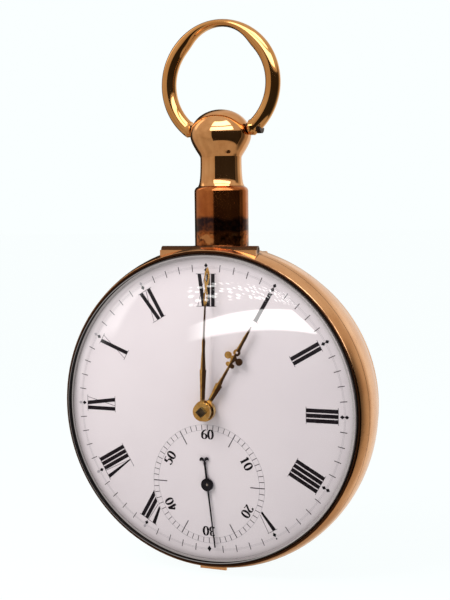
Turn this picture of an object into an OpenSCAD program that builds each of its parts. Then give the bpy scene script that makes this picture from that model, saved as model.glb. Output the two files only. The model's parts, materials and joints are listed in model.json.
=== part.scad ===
// Open face pocket watch with a key-wound fusee movement and a rack lever escapement.
// Row frame: the hands turn about the Y axis, the dial faces -Y, 12 o'clock and the bow are at +Z.
// The pendant stands on the Z axis. Every movement part is drawn in the dial frame, in which x is to the
// right, y is towards 12 o'clock and z comes out of the dial, and in_case() turns it into the row frame.

/* [Case] */
// Diameter of the case at its widest
case_d = 50.96; // [49:0.02:52]
// Radius of the case at the front edge of the bezel
front_r = 24.75; // [24.5:0.05:24.8]
// Thickness of the case metal
case_wall = 0.5; // [0.4:0.05:0.6]
// Height of the crystal's dome above its edge
crystal_rise = 4.5; // [4:0.1:5]
// Thickness of the crystal
crystal_t = 0.8; // [0.6:0.1:1]
// Radius of the opening through which the dial is seen
sight_r = 23.9; // [23.5:0.1:24]

/* [Pendant and bow] */
// Diameter of the pendant's lower sleeve
sleeve_d = 8.5; // [8:0.1:9]
// Height of the sleeve's shoulder above the case centre
sleeve_top = 34.5; // [33:0.5:36]
// Widest diameter of the pendant's knob
knob_d = 9.6; // [9:0.1:10]
// Height of the pivot on which the bow swings
bow_pivot = 43.56; // [43:0.02:44]
// Radius of the bow's ring, to the middle of its wire
bow_r = 8.8; // [8.5:0.02:9]
// Diameter of the bow's wire
bow_wire = 2.36; // [2:0.02:2.6]

/* [Hands at rest] */
// Hour hand's angle from 12 o'clock
hour_angle = 30.6; // [0:0.1:359]
// Minute hand's angle from 12 o'clock
minute_angle = 1.9; // [0:0.1:359]
// Seconds hand's angle from its 60 mark
seconds_angle = 173.2; // [0:0.1:359]

/* [Train] */
// Module of the great wheel and centre pinion
great_m = 0.27; // [0.27:0.001:0.27]
// Module of the centre wheel and third pinion
centre_m = 0.2; // [0.2:0.001:0.2]
// Module of the third wheel and fourth pinion
third_m = 0.17; // [0.17:0.001:0.17]
// Module of the fourth wheel and escape pinion
fourth_m = 0.14; // [0.14:0.001:0.14]
// Module of the cannon pinion and minute wheel
cannon_m = 0.16; // [0.16:0.001:0.16]
// Module of the lever's rack and the balance pinion
rack_m = 0.144; // [0.144:0.001:0.144]

/* [Hidden] */
$fn = 64;
eps = 0.01;
gap = 0.05;            // running gap between faces that pass each other
pivot_gap = 0.04;      // radial clearance of a pivot in its hole

// Tooth counts
great_n = 60;
centre_pinion_n = 12;
centre_n = 64;
third_pinion_n = 8;
third_n = 60;
fourth_pinion_n = 8;
fourth_n = 64;
escape_pinion_n = 8;
escape_n = 15;
cannon_n = 12;
minute_n = 36;
minute_pinion_n = 10;
hour_n = 40;
rack_n = 90;
staff_pinion_n = 10;

// Levels along the dial frame's z, from the front to the back
lip_z = 7.1;           // front edge of the bezel
dial_rim_z = 6.5;      // front surface of the dial at its rim
dial_rise = 0.35;      // how much the dial's centre stands above its rim
dial_t = 0.75;
bezel_seam = 4.75;     // where the bezel meets the band
plate_top = 4.2;       // dial side of the pillar plate
plate_bottom = 2.9;    // train side of the pillar plate
top_plate_front = -2.5;
top_plate_back = -3.6;
back_seam = -4.65;     // where the back cover meets the band
inner_back = -7.75;    // inside of the inner bottom at its centre
back_z = -9.1;         // flat centre of the back cover

// Levels of the wheels, each its front face
centre_wheel_z = 2.6;
great_wheel_z = 1.9;
fourth_wheel_z = 1.25;
escape_wheel_z = -0.6;
third_wheel_z = -1.6;
lever_z = -0.6;
minute_wheel_z = 4.7;
hour_wheel_z = 5.4;
seconds_hand_z = 7.17;
hour_hand_z = 7.85;
minute_hand_z = 8.8;
square_top_z = 9.5;

// Radii
dial_r = 24.2;
plate_r = 23.1;
top_plate_r = 20.6;
band_inner_r = 24.35;
collar_r = 24.2;       // collar of the band, which the bezel snaps over
pivot_r = 0.22;
arbor_r = 0.45;
cannon_r = 0.8;
hour_pipe_r = 1.15;
set_square = 1.15;     // side of the square that a key turns to set the hands
winding_square = 1.5;  // side of the square that a key turns to wind the fusee
key_hole_r = 2.0;
case_mid_z = 2.97;     // level at which the case is widest
back_fall = 0.0255;    // how fast the band narrows towards the back, per mm squared

// Places of the arbors in the dial frame
seconds_drop = 11.69;
function polar(r, a) = [r * cos(a), r * sin(a)];
function meet(p, q, rp, rq) = // point at rp from p and rq from q, on the right of the line from p to q
    let (d = norm(q - p), u = (q - p) / d)
    let (a = (rp * rp - rq * rq + d * d) / (2 * d), h = sqrt(rp * rp - a * a))
    p + a * u + h * [u[1], -u[0]];
function angle_to(p, q) = atan2(q[1] - p[1], q[0] - p[0]);
centre_at = [0, 0];
fourth_at = [0, -seconds_drop];
fusee_at = polar(great_m * (great_n + centre_pinion_n) / 2, 35);
barrel_at = [-9.6, 5.9];
third_at = meet(centre_at, fourth_at, centre_m * (centre_n + third_pinion_n) / 2,
    third_m * (third_n + fourth_pinion_n) / 2);
escape_at = fourth_at + polar(fourth_m * (fourth_n + escape_pinion_n) / 2, -15);
balance_at = [7.6, -5.8];
escape_r = 3.3;
pallet_span = 42;      // half of the angle that the pallets embrace on the escape wheel
rack_reach = rack_m * (rack_n + staff_pinion_n) / 2;
pallet_at = meet(escape_at, balance_at, escape_r / cos(pallet_span), rack_reach);
minute_at = polar(cannon_m * (cannon_n + minute_n) / 2, 240);
hour_m = norm(minute_at) * 2 / (hour_n + minute_pinion_n);
pillar_r = 19.2;
pillar_angles = [90, 195, 250, 345];
foot_r = 21.3;
foot_angles = [30, 150, 285];

// Barrel, fusee and chain
barrel_r = 7.9;
barrel_front = 1.85;
barrel_back = -2.2;
fusee_turns = 6;
fusee_pitch = 0.45;
fusee_base = 0.95;     // front face of the cone, behind the great wheel
fusee_r0 = 6.2;        // groove radius at the great wheel
fusee_r1 = 3.5;        // groove radius at the top plate
chain_t = 0.24;
chain_h = 0.28;
chain_turns_left = 3;  // turns still on the fusee
barrel_chain_turns = 2;
function groove_r(i) = 1 / (1 / fusee_r0 + (1 / fusee_r1 - 1 / fusee_r0) * i / (fusee_turns - 1));
function groove_z(i) = fusee_base - fusee_pitch * (i + 0.5);

// Case outline: radius at level z of the closed case
function case_r(z) = case_d / 2 - (z > case_mid_z
    ? (case_d / 2 - front_r) * pow((z - case_mid_z) / (lip_z - 0.3 - case_mid_z), 2)
    : back_fall * pow(z - case_mid_z, 2));
// Points of a bowl that starts at radius r on level z0 and ends at level z1 on a flat of radius flat_r
function bowl(r, z0, z1, flat_r, steps = 14) = [for (i = [0:steps]) let (t = 90 * i / steps)
    [flat_r + (r - flat_r) * pow(cos(t), 0.77), z0 + (z1 - z0) * pow(sin(t), 0.77)]];
function reversed(p) = [for (i = [len(p) - 1:-1:0]) p[i]];

// ---------- helpers ----------

// Turns the dial frame into the row frame
module in_case() { rotate([90, 0, 0]) children(); }

// Cylinder from level z0 down to level z1
module rod(r, z0, z1) { translate([0, 0, min(z0, z1)]) cylinder(r = r, h = abs(z1 - z0)); }

// Flat piece of a 2D shape whose front face is at z
module slab(z, t) { translate([0, 0, z - t]) linear_extrude(t) children(); }

module at(p) { translate([p[0], p[1], 0]) children(); }

// Arbor between two levels, with a pivot at each end
module arbor(front, back, r = arbor_r, pivot_len = 1.0) {
    rod(r, front, back);
    rod(pivot_r, front + pivot_len, front - eps);
    rod(pivot_r, back + eps, back - pivot_len);
}

// Solid of revolution about the dial frame's z, from points of [radius, level]
module turned(points) { rotate_extrude($fn = 128) polygon(points); }

// ---------- gear teeth of the cycloidal horological form ----------

// Height of a wheel tooth above the pitch circle in modules, for a pinion of n leaves and a ratio k
function roll(t, k) = atan2(sin(t), 1 + 2 * k - cos(t));
function contact_angle(n, k, t = 57, i = 0) =
    i == 8 ? t : contact_angle(n, k, 180 / n + 2 * k * roll(t, k), i + 1);
function addendum(n, k) = let (t = contact_angle(n, k), w = 1 + 2 * k)
    0.95 * 0.25 * n * (1 - w + sqrt(1 + w * w - 2 * w * cos(t)));

// One side of a tooth from root to tip: [radius, half thickness]
function flank(r, root, half, tip, steps = 4) = let (rho = (tip * tip + half * half) / (2 * half),
    top = asin(min(1, tip / rho)))
    concat([[root, half * root / r]],
        [for (i = [0:steps]) [r + rho * sin(top * i / steps), half - rho * (1 - cos(top * i / steps))]]);
function tooth(r, root, half, tip) = let (f = flank(r, root, half, tip), n = len(f))
    concat([for (p = f) [p[0], -p[1]]], [for (i = [n - 2:-1:0]) f[i]]);
function ring_of(n, phase, t, count) = [for (k = [0:count - 1]) for (p = t)
    let (a = phase + 360 * k / n) [p[0] * cos(a) - p[1] * sin(a), p[0] * sin(a) + p[1] * cos(a)]];

function wheel_tooth(n, m, pinion) =
    tooth(n * m / 2, n * m / 2 - 1.57 * m, PI * m / 4, m * addendum(pinion, n / pinion));
function pinion_tooth(n, m, wheel) = let (half = (n > 10 ? 0.625 : 0.525) * m)
    tooth(n * m / 2, n * m / 2 - m * (addendum(n, wheel / n) + 0.4), half, half * 1.05);

// Angle of a leaf of a pinion that stands at angle a from its wheel, in mesh with a wheel tooth at phase w
function mesh_phase(a, n_wheel, n_pinion, w = 0) = a + 180 - (w - a) * n_wheel / n_pinion + 180 / n_pinion;

// Wheel with crossings: rim and hub radii, number of spokes and their width
module wheel(n, m, pinion, z, t, bore, hub, rim, spokes, spoke_w) {
    slab(z, t) difference() {
        polygon(ring_of(n, 0, wheel_tooth(n, m, pinion), n));
        difference() {
            circle(r = rim);
            circle(r = hub);
            for (k = [0:spokes - 1]) rotate(360 * k / spokes)
                translate([0, -spoke_w / 2]) square([rim + 1, spoke_w]);
        }
        circle(r = bore);
    }
}
module pinion(n, m, wheel_n, phase, front, back) {
    slab(front, front - back) polygon(ring_of(n, phase, pinion_tooth(n, m, wheel_n), n));
}

// ---------- hinges between the band and its two lids ----------

hinge_r = 0.62;
hinge_pin_r = 0.3;
hinge_mid = 2.9;       // half length of the band's middle knuckle
sweep_r = 0.95;        // room round the hinge line, so the lid's edge can turn past the band
web_h = 1.6;           // depth of the web that joins a lid's knuckle to its rim
// Each hinge: distance of its line from the centre, its level and its half length
bezel_hinge = [24.65, 5.0, 8.0];
back_hinge = [23.5, -4.95, 5.7];

module along_x(p, x0, x1, r) {
    translate([x0, p[0], p[1]]) rotate([0, 90, 0]) cylinder(r = r, h = x1 - x0);
}
module hinge_clear(p, x0, x1, r) { along_x(p, x0 - gap, x1 + gap, r); }
module pin_hole(p) { along_x(p, -p[2] - 1, p[2] + 1, hinge_pin_r + pivot_gap); }

// The band's middle knuckle; its leaf runs from the hinge line to level leaf_z
module mid_knuckle(p, leaf_z) {
    difference() {
        union() {
            along_x(p, -hinge_mid, hinge_mid, hinge_r);
            translate([-hinge_mid, p[0] - hinge_r, min(p[1], leaf_z)])
                cube([2 * hinge_mid, 1.2, abs(leaf_z - p[1])]);
        }
        pin_hole(p);
    }
}
// A lid's two outer knuckles with webs between levels z0 and z1 that stay outside radius clear_r
module lid_knuckles(p, z0, z1, clear_r) {
    inner_end = hinge_mid + gap;
    len = p[2] - inner_end;
    for (s = [-1, 1]) difference() {
        union() {
            x0 = s > 0 ? inner_end : -p[2];
            along_x(p, x0, x0 + len, hinge_r);
            difference() {
                translate([x0, p[0] - web_h, z0]) cube([len, web_h, z1 - z0]);
                rod(clear_r, z0 - 1, z1 + 1);
            }
        }
        pin_hole(p);
    }
}

// ---------- case ----------

module case_band() {
    collar_z = bezel_seam + 1.0;
    edge_z = bezel_seam - gap;
    seat_z = plate_bottom - gap;
    seat_r = 22.4;         // inner radius of the ledge that carries the movement
    back_collar_r = 23.4;  // collar that the back cover snaps over
    color("#c98b58") in_case() {
        difference() {
            turned(concat(
                [for (i = [0:10]) let (z = back_seam + (edge_z - back_seam) * i / 10) [case_r(z), z]],
                [[collar_r, edge_z], [collar_r, collar_z], [collar_r - 0.3, collar_z],
                 [collar_r - 0.3, bezel_seam - 0.6], [collar_r - 0.4, seat_z], [seat_r, seat_z],
                 [seat_r, seat_z - 0.6], [collar_r - 0.2, seat_z - 1.2], [collar_r - 0.6, back_seam + 1.0],
                 [back_collar_r - 0.55, back_seam + 0.4], [back_collar_r - 0.55, back_seam - 0.7],
                 [back_collar_r, back_seam - 0.7], [back_collar_r, back_seam]]));
            // sinks for the lids' knuckles and for the pendant's spigot
            for (p = [bezel_hinge, back_hinge]) {
                hinge_clear(p, -p[2], -hinge_mid, hinge_r + 0.06);
                hinge_clear(p, hinge_mid, p[2], hinge_r + 0.06);
                pin_hole(p);
            }
            translate([0, 22, 0]) rotate([-90, 0, 0]) cylinder(r = spigot_r, h = 5);
            // slot that the latch enters, and room for the movement's own hinge
            translate([-latch_w / 2 - gap, -24.4, latch_z - latch_t - gap])
                cube([latch_w + 2 * gap, 2.4, latch_t + 2 * gap]);
            translate([-3.1, 21.5, 1.2]) cube([6.2, 2.15, 2.2]);
        }
        mid_knuckle(bezel_hinge, bezel_seam - 0.6);
        mid_knuckle(back_hinge, back_seam + 0.6);
        for (s = [-1, 1]) movement_knuckle(s > 0 ? 1.6 : -3.0, s > 0 ? 3.0 : -1.6, 23.7);
    }
}

movement_hinge = [22.75, 1.95];
latch_w = 2.0;
latch_t = 0.46;
latch_z = plate_bottom - 0.02;
spigot_r = 2.6;
module movement_knuckle(x0, x1, reach_y) {
    y0 = min(movement_hinge[0], reach_y);
    difference() {
        union() {
            along_x(movement_hinge, x0, x1, 0.5);
            translate([x0, y0, movement_hinge[1] - 0.3])
                cube([x1 - x0, abs(reach_y - movement_hinge[0]), 0.6]);
        }
        along_x(movement_hinge, x0 - 1, x1 + 1, 0.24);
    }
}

module inner_bottom() {
    outer = bowl(22.8, back_seam + 0.2, inner_back - 0.35, 4);
    inner = bowl(22.45, back_seam + 0.2, inner_back, 4);
    color("#d6a25c") in_case() difference() {
        union() {
            turned(concat([[0, inner_back - 0.35]], reversed(outer), inner, [[0, inner_back]]));
            at(fusee_at) rod(key_hole_r + 0.9, inner_back + 0.75, inner_back - 0.05);
        }
        at(fusee_at) rod(key_hole_r, inner_back + 2, inner_back - 2);
    }
}

module back_cover() {
    edge = case_r(back_seam);
    z0 = back_seam - gap;
    outer = bowl(edge, z0 - 0.3, back_z, 9);
    inner = bowl(edge - case_wall, z0 - 0.3, back_z + case_wall, 9);
    color("#c98b58") in_case() {
        difference() {
            turned(concat([[0, back_z]], reversed(outer), [[edge, z0], [edge - case_wall, z0]], inner,
                [[0, back_z + case_wall]]));
            hinge_clear(back_hinge, -back_hinge[2], back_hinge[2], sweep_r);
        }
        lid_knuckles(back_hinge, back_hinge[1] - sweep_r - 0.1, -4.8, 23.45);
        // thumb piece for opening, at 6 o'clock
        translate([-2.2, -edge - 0.35, z0 - 0.45]) cube([4.4, 0.9, 0.4]);
    }
}

module bezel() {
    z0 = bezel_seam;
    color("#d0925c") in_case() {
        difference() {
            turned(concat(
                [for (i = [0:8]) let (z = z0 + (lip_z - 0.45 - z0) * i / 8) [case_r(z), z]],
                [[24.74, lip_z - 0.24], [24.62, lip_z - 0.08], [24.48, lip_z], [24.28, lip_z],
                 [24.18, lip_z - 0.12], [24.16, 6.72],
                 [sight_r, 6.72], [sight_r, 6.58], [24.3, 6.56], [24.3, z0]]));
            hinge_clear(bezel_hinge, -bezel_hinge[2], bezel_hinge[2], sweep_r);
        }
        lid_knuckles(bezel_hinge, 4.85, bezel_hinge[1] + sweep_r + 0.1, 24.3);
        // thumb piece for opening, at 6 o'clock
        translate([-2.2, -case_r(z0) - 0.3, z0]) cube([4.4, 0.55, 0.4]);
    }
}

// Points of a high dome, steep at its edge of radius r on level z, that rises by rise
function dome(r, z, rise, n = 2.2, steps = 18) =
    [for (i = [0:steps]) let (a = 90 * i / steps) [r * pow(sin(a), 2 / n), z + rise * pow(cos(a), 2 / n)]];

module crystal() {
    r = 24.12;
    edge_z = 6.76;
    edge_t = 0.3;
    outer = dome(r, edge_z + edge_t, crystal_rise);
    inner = dome(r - 0.7, edge_z, crystal_rise + edge_t - crystal_t);
    color("#dfe8ea", 0.3) in_case() turned(concat(inner, [[r, edge_z]], reversed(outer)));
}

module hinge_pin(p) { color("#8a6a48") in_case() along_x(p, -p[2] + 0.05, p[2] - 0.05, hinge_pin_r); }
module bezel_hinge_pin() { hinge_pin(bezel_hinge); }
module back_hinge_pin() { hinge_pin(back_hinge); }
module movement_hinge_pin() { color("#5a5f66") in_case() along_x(movement_hinge, -3, 3, 0.22); }

// ---------- pendant and bow ----------

module pendant_sleeve() {
    r = sleeve_d / 2;
    color("#8a5228") difference() {
        union() {
            // the foot follows the band
            difference() {
                rotate_extrude() polygon(concat([[0, 24], [r, 24], [r, sleeve_top - 0.9]],
                    [for (a = [0:15:90]) [r - 0.8 + 0.8 * cos(a), sleeve_top - 0.8 + 0.8 * sin(a)]],
                    [[0, sleeve_top]]));
                in_case()
                    turned(concat([[0, -5.5]], [for (z = [-5.5:5.5]) [case_r(z) + 2 * eps, z]],
                        [[0, 5.5]]));
            }
            translate([0, 0, 23.75]) cylinder(r = spigot_r - eps, h = 4);
        }
        translate([0, 0, sleeve_top - 3]) cylinder(r = 1.8, h = 4);
    }
}

neck_top = 39.1;
knob_top = 46.5;
module pendant_knob() {
    r = knob_d / 2;
    crown = 4.0;           // height of the knob's top above its widest level
    belly = knob_top - crown;
    color("#c98b58") difference() {
        union() {
            rotate_extrude() polygon(concat(
                [[0, sleeve_top + eps], [3.65, sleeve_top + eps], [3.5, sleeve_top + 0.8], [3.32, 37],
                 [3.24, neck_top], [3.4, neck_top + 0.35], [3.88, 40.1], [4.38, 41.0], [4.7, 41.8]],
                [for (a = [0:9:81]) [r * cos(a), belly + crown * sin(a)]], [[0, knob_top]]));
            translate([0, 0, sleeve_top - 2.8]) cylinder(r = 1.75, h = 3);
        }
        along_screw(-8, 8, screw_r + 0.03);
    }
}

screw_r = 0.65;
screw_head_r = 1.0;
module along_screw(x0, x1, r) {
    translate([x0, 0, bow_pivot]) rotate([0, 90, 0]) cylinder(r = r, h = x1 - x0);
}
module bow_screw() {
    color("#3c3530") difference() {
        union() {
            along_screw(-6.15, 6.3, screw_r);
            along_screw(6.25, 6.95, screw_head_r);
        }
        translate([6.65, -2, bow_pivot - 0.14]) cube([1, 4, 0.28]);
    }
}

eye_r = 1.22;
module bow() {
    knob_r = knob_d / 2;
    eye_x = knob_r + 0.65;
    eye_half = 0.6;
    worn_t = 1.15;         // what is left of the wire at the top of the ring
    worn_r = 5.6;
    ring_z = bow_pivot + sqrt(bow_r * bow_r - pow(eye_x, 2));
    end_angle = asin(eye_x / bow_r);
    color("#d29a5c") difference() {
        union() {
            translate([0, 0, ring_z]) rotate([90, 0, 0]) rotate(end_angle - 90)
                rotate_extrude(angle = 360 - 2 * end_angle, $fn = 96)
                    translate([bow_r, 0]) circle(d = bow_wire);
            for (s = [-1, 1]) along_screw(s * eye_x - eye_half, s * eye_x + eye_half, eye_r);
        }
        along_screw(-8, 8, screw_r + pivot_gap);
        along_screw(knob_r + 1.38, 8, screw_head_r + gap);
        // the top of the ring is worn thin on its inside
        translate([0, 0, ring_z + bow_r + bow_wire / 2 - worn_t - worn_r]) rotate([90, 0, 0])
            cylinder(r = worn_r, h = bow_wire + 1, center = true);
        // the eyes clear the knob in every position
        translate([0, 0, bow_pivot]) rotate([0, 90, 0])
            cylinder(r = 3, h = 2 * knob_r + 0.1, center = true);
    }
}

// ---------- dial and hands ----------

module dial() {
    top = [for (i = [0:12]) let (u = i / 12) [dial_r * u, dial_rim_z + dial_rise * (1 - u * u)]];
    color("#f2eeea") in_case() difference() {
        turned(concat([for (p = top) [p[0], p[1] - dial_t]], reversed(top)));
        rod(hour_pipe_r + 0.25, 8, 4);
        at(fourth_at) rod(0.6, 8, 4);
    }
}
module dial_feet() {
    color("#b06a3c") in_case() for (a = foot_angles) at(polar(foot_r, a)) difference() {
        rod(0.55, dial_rim_z - dial_t + 0.04, 1.75);
        taper_pin(a, 0.01);
    }
}
// Taper pin across a foot at angle a; grow widens it to cut its hole
module taper_pin(a, grow = 0) {
    rotate(a) translate([-1.1, 0, 2.45]) rotate([0, 90, 0])
        cylinder(r1 = 0.16 + grow, r2 = 0.24 + grow, h = 2);
}
module dial_foot_pins() {
    color("#9a8a60") in_case() for (a = foot_angles) at(polar(foot_r, a)) taper_pin(a);
}

// A hand is drawn pointing to +y, then turned to its angle from 12 o'clock
module pointing(angle) { rotate(-angle) children(); }

// Blade outline from points of [distance, half width], mirrored about its middle line
module blade(p) { polygon(concat([for (q = p) [q[1], q[0]]], [for (q = reversed(p)) [-q[1], q[0]]])); }

module hour_hand() {
    boss_r = 1.65;
    leaf_step = 4.8;
    clover = 9.6;
    tip = 15.3;
    color("#b8893e") in_case() {
        slab(hour_hand_z + 0.25, 0.8) difference() { circle(r = boss_r); circle(r = hour_pipe_r); }
        pointing(hour_angle) slab(hour_hand_z, 0.2) difference() {
            union() {
                blade([[boss_r - 0.2, 0.3], [3.0, 0.42], [leaf_step, 0.58], [leaf_step, 0.36], [6.0, 0.24],
                    [8.0, 0.18], [9.3, 0.3]]);
                translate([0, 8.42]) round_bar(0.74, 0.34);
                for (s = [-1, 1]) translate([s * 1.02, clover]) circle(r = 0.56);
                translate([0, clover + 1.05]) circle(r = 0.56);
                translate([0, clover]) circle(r = 0.5);
                blade([[clover + 1.3, 0.34], [12.4, 0.24], [13.4, 0.26], [14.4, 0.17], [tip, 0.03]]);
            }
            translate([0, clover + 1.05]) circle(r = 0.2);
        }
    }
}
// Bar of half length a with round ends of radius b
module round_bar(a, b) {
    for (s = [-1, 1]) translate([s * (a - b), 0]) circle(r = b);
    square([2 * (a - b), 2 * b], center = true);
}

module minute_hand() {
    boss_r = 1.43;
    leaf_step = 6.5;
    tip = 22.1;
    color("#b8893e") in_case() {
        slab(minute_hand_z + 0.3, 0.75) difference() {
            circle(r = boss_r);
            rotate(45) square(set_square + 0.02, center = true);
        }
        pointing(minute_angle) intersection() {
            drooping_sheet(minute_hand_z, 0.18, 8, 1.05);
            slab(minute_hand_z + 1, 3) difference() {
                union() {
                    blade([[boss_r - 0.2, 0.33], [4.0, 0.42], [leaf_step, 0.52], [leaf_step, 0.4],
                        [9.4, 0.24], [10.8, 0.25], [11.4, 0.14], [16.1, 0.12], [16.9, 0.28], [18.2, 0.3],
                        [18.8, 0.15], [19.4, 0.28]]);
                    blade([[19.0, 0.14], [19.8, 0.36], [20.6, 0.43], [21.3, 0.36], [21.8, 0.18],
                        [tip, 0.04]]);
                }
                blade([[16.9, 0.02], [17.4, 0.14], [18.0, 0.12], [18.3, 0.02]]);
                blade([[19.8, 0.02], [20.3, 0.2], [20.8, 0.22], [21.3, 0.02]]);
            }
        }
    }
}
// Thin sheet with its front at z, level out to radius r0 and falling by drop at the minute circle
module drooping_sheet(z, t, r0, drop) {
    front = concat([[0, z]], [for (r = [r0:2:24]) [r, z - drop * pow((r - r0) / (22 - r0), 2)]]);
    turned(concat([for (p = front) [p[0], p[1] - t]], reversed(front)));
}

module seconds_hand() {
    boss_r = 1.0;
    tail = 3.95;
    tip = 9.9;
    color("#20242c") in_case() at(fourth_at) {
        slab(seconds_hand_z + 0.12, 0.28) difference() { circle(r = boss_r); circle(r = 0.2); }
        pointing(seconds_angle) slab(seconds_hand_z, 0.12) union() {
            blade([[boss_r - 0.1, 0.13], [4, 0.11], [tip, 0.1]]);
            blade([[-boss_r + 0.1, 0.16], [-2.9, 0.14], [-3.4, 0.19], [-tail + 0.1, 0.08]]);
            // two curled horns
            for (s = [-1, 1]) translate([s * 0.42, -tail]) difference() {
                circle(r = 0.36);
                translate([s * 0.05, 0.42]) circle(r = 0.3);
            }
        }
    }
}

// ---------- frame of the movement ----------

pillar_pivot_r = 0.7;
module pillar_plate() {
    color("#cda24e") in_case() {
        difference() {
            rod(plate_r, plate_top, plate_bottom);
            for (a = pillar_angles) at(polar(pillar_r, a)) rod(pillar_pivot_r, 5, 2);
            for (a = foot_angles) at(polar(foot_r, a)) rod(0.6, 5, 2);
            for (p = [third_at, fourth_at, escape_at, pallet_at]) at(p) rod(pivot_r + pivot_gap, 5, 2);
            rod(arbor_r + pivot_gap, 5, 2);
            at(fusee_at) rod(0.6 + pivot_gap, 5, 2);
            at(barrel_at) rod(1.0 + pivot_gap, 5, 2);
            at(minute_at) rod(0.4, 5, 2);
            at(click_at) rod(0.32, 5, 2);
            // room for the movement's hinge
            translate([-3.1, 22.2, 2]) cube([6.2, 2, 3]);
        }
        latch_guide();
        movement_knuckle(-1.5, 1.5, 21.6);
        translate([-1.5, 21.2, movement_hinge[1] - 0.3])
            cube([3, 0.8, plate_bottom - movement_hinge[1] + 0.35]);
    }
}
module pillars() {
    color("#d8ae58") in_case() for (a = pillar_angles) at(polar(pillar_r, a)) difference() {
        union() {
            rod(pillar_pivot_r, plate_top, plate_bottom - eps);
            turned_pillar();
            rod(pillar_pivot_r, top_plate_front + eps, top_plate_back - 1.1);
        }
        translate([-2, 0, top_plate_back - 0.5]) rotate([0, 90, 0]) cylinder(r = 0.22, h = 4);
    }
}
// Baluster between the plates
module turned_pillar() {
    mid = (plate_bottom + top_plate_front) / 2;
    half = (plate_bottom - top_plate_front) / 2;
    rotate_extrude() polygon(concat([[0, mid - half], [1.15, mid - half], [1.15, mid - half + 0.5]],
        [for (i = [0:8]) let (t = -1 + i / 4) [0.75 + 0.35 * (1 - t * t) - 0.05, mid + t * (half - 0.7)]],
        [[1.15, mid + half - 0.5], [1.15, mid + half], [0, mid + half]]));
}
module pillar_pins() {
    color("#9a8a60") in_case() for (a = pillar_angles) at(polar(pillar_r, a))
        translate([-1.4, 0, top_plate_back - 0.5])
        rotate([0, 90, 0]) cylinder(r = 0.2, h = 2.8);
}
regulator_seat_r = 2.1;
module top_plate() {
    color("#cda24e") in_case() difference() {
        union() {
            rod(top_plate_r, top_plate_front, top_plate_back);
            at(balance_at) rod(regulator_seat_r, top_plate_back + eps, top_plate_back - 0.35);
        }
        for (a = pillar_angles) at(polar(pillar_r, a)) rod(pillar_pivot_r + 0.02, 0, -6);
        for (p = [centre_at, third_at, fourth_at, escape_at, pallet_at])
            at(p) rod(pivot_r + pivot_gap, 0, -6);
        at(fusee_at) rod(1.15 + pivot_gap, 0, -6);
        at(barrel_at) rod(0.8 + pivot_gap, 0, -6);
        at(balance_at) rod(1.5, 0, -6);
        at(cock_screw_at) rod(0.5, 0, -6);
        at(potence_screw_at) rod(0.45, 0, -6);
    }
}
module movement_latch() {
    color("#3a4a66") in_case() {
        translate([-latch_w / 2, -24.25, latch_z - latch_t]) cube([latch_w, 5.25, latch_t]);
        // thumb stud
        translate([0, -19.6, 0]) rod(0.45, latch_z - latch_t + eps, latch_z - latch_t - 0.5);
    }
}
// Strap of the pillar plate that the latch slides through
module latch_guide() {
    under = latch_z - latch_t - gap;
    translate([-latch_w / 2 - 0.7, -21.6, under - 0.35]) difference() {
        cube([latch_w + 1.4, 0.9, plate_bottom + 0.1 - under + 0.35]);
        translate([0.7 - gap, -1, 0.35]) cube([latch_w + 2 * gap, 3, plate_bottom - under]);
    }
}

// ---------- motion work under the dial ----------

module cannon_pinion() {
    phase = mesh_phase(angle_to(minute_at, centre_at), minute_n, cannon_n);
    color("#6b6f76") in_case() difference() {
        union() {
            pinion(cannon_n, cannon_m, minute_n, phase, minute_wheel_z + 0.2, plate_top + 0.1);
            rod(cannon_r, plate_top + 0.1, minute_hand_z - 0.45);
            slab(square_top_z, square_top_z - minute_hand_z + 0.46)
                rotate(45) square(set_square, center = true);
        }
        rod(arbor_r + 0.01, 3, 8.2);
    }
}
module minute_wheel() {
    phase = mesh_phase(angle_to(centre_at, minute_at), hour_n, minute_pinion_n);
    color("#c79a48") in_case() at(minute_at) difference() {
        union() {
            wheel(minute_n, cannon_m, cannon_n, minute_wheel_z, 0.35, 0.4, 1.1, 2.2, 4, 0.45);
            pinion(minute_pinion_n, hour_m, hour_n, phase, hour_wheel_z + 0.1, minute_wheel_z - 0.1);
        }
        rod(0.4, 3, 8);
    }
}
module minute_wheel_stud() {
    color("#7b7f86") in_case() at(minute_at) {
        rod(0.36, hour_wheel_z + 0.2, plate_bottom + 0.2);
    }
}
module hour_wheel() {
    color("#c79a48") in_case() difference() {
        union() {
            wheel(hour_n, hour_m, minute_pinion_n, hour_wheel_z, 0.35, cannon_r, 1.5, 2.4, 4, 0.5);
            rod(hour_pipe_r, hour_hand_z + 0.1, hour_wheel_z - 0.4);
        }
        rod(cannon_r + 0.05, 3, 9);
    }
}

// ---------- barrel, fusee and chain ----------

module barrel_drum() {
    color("#d0a450") in_case() at(barrel_at) difference() {
        rod(barrel_r, barrel_front, barrel_back);
        rod(barrel_r - 0.45, barrel_front - 0.35, barrel_back - 1);
        rod(1.0 + pivot_gap, 5, -5);
    }
}
module barrel_cover() {
    color("#d8ae58") in_case() at(barrel_at) difference() {
        rod(barrel_r - 0.46, barrel_back + 0.4, barrel_back);
        rod(0.8 + pivot_gap, 5, -5);
        translate([5.6, 0, 0]) rod(0.5, 0, -5);
    }
}
module barrel_arbor() {
    color("#6b6f76") in_case() at(barrel_at) {
        rod(1.0, plate_top + gap, barrel_front - 0.4);
        rod(2.2, barrel_front - 0.4 + eps, barrel_back + 0.46);
        rod(0.8, barrel_back + 0.46 + eps, top_plate_back);
        slab(plate_top + 0.75, 0.7 + gap) square(1.35, center = true);
    }
}
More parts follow.
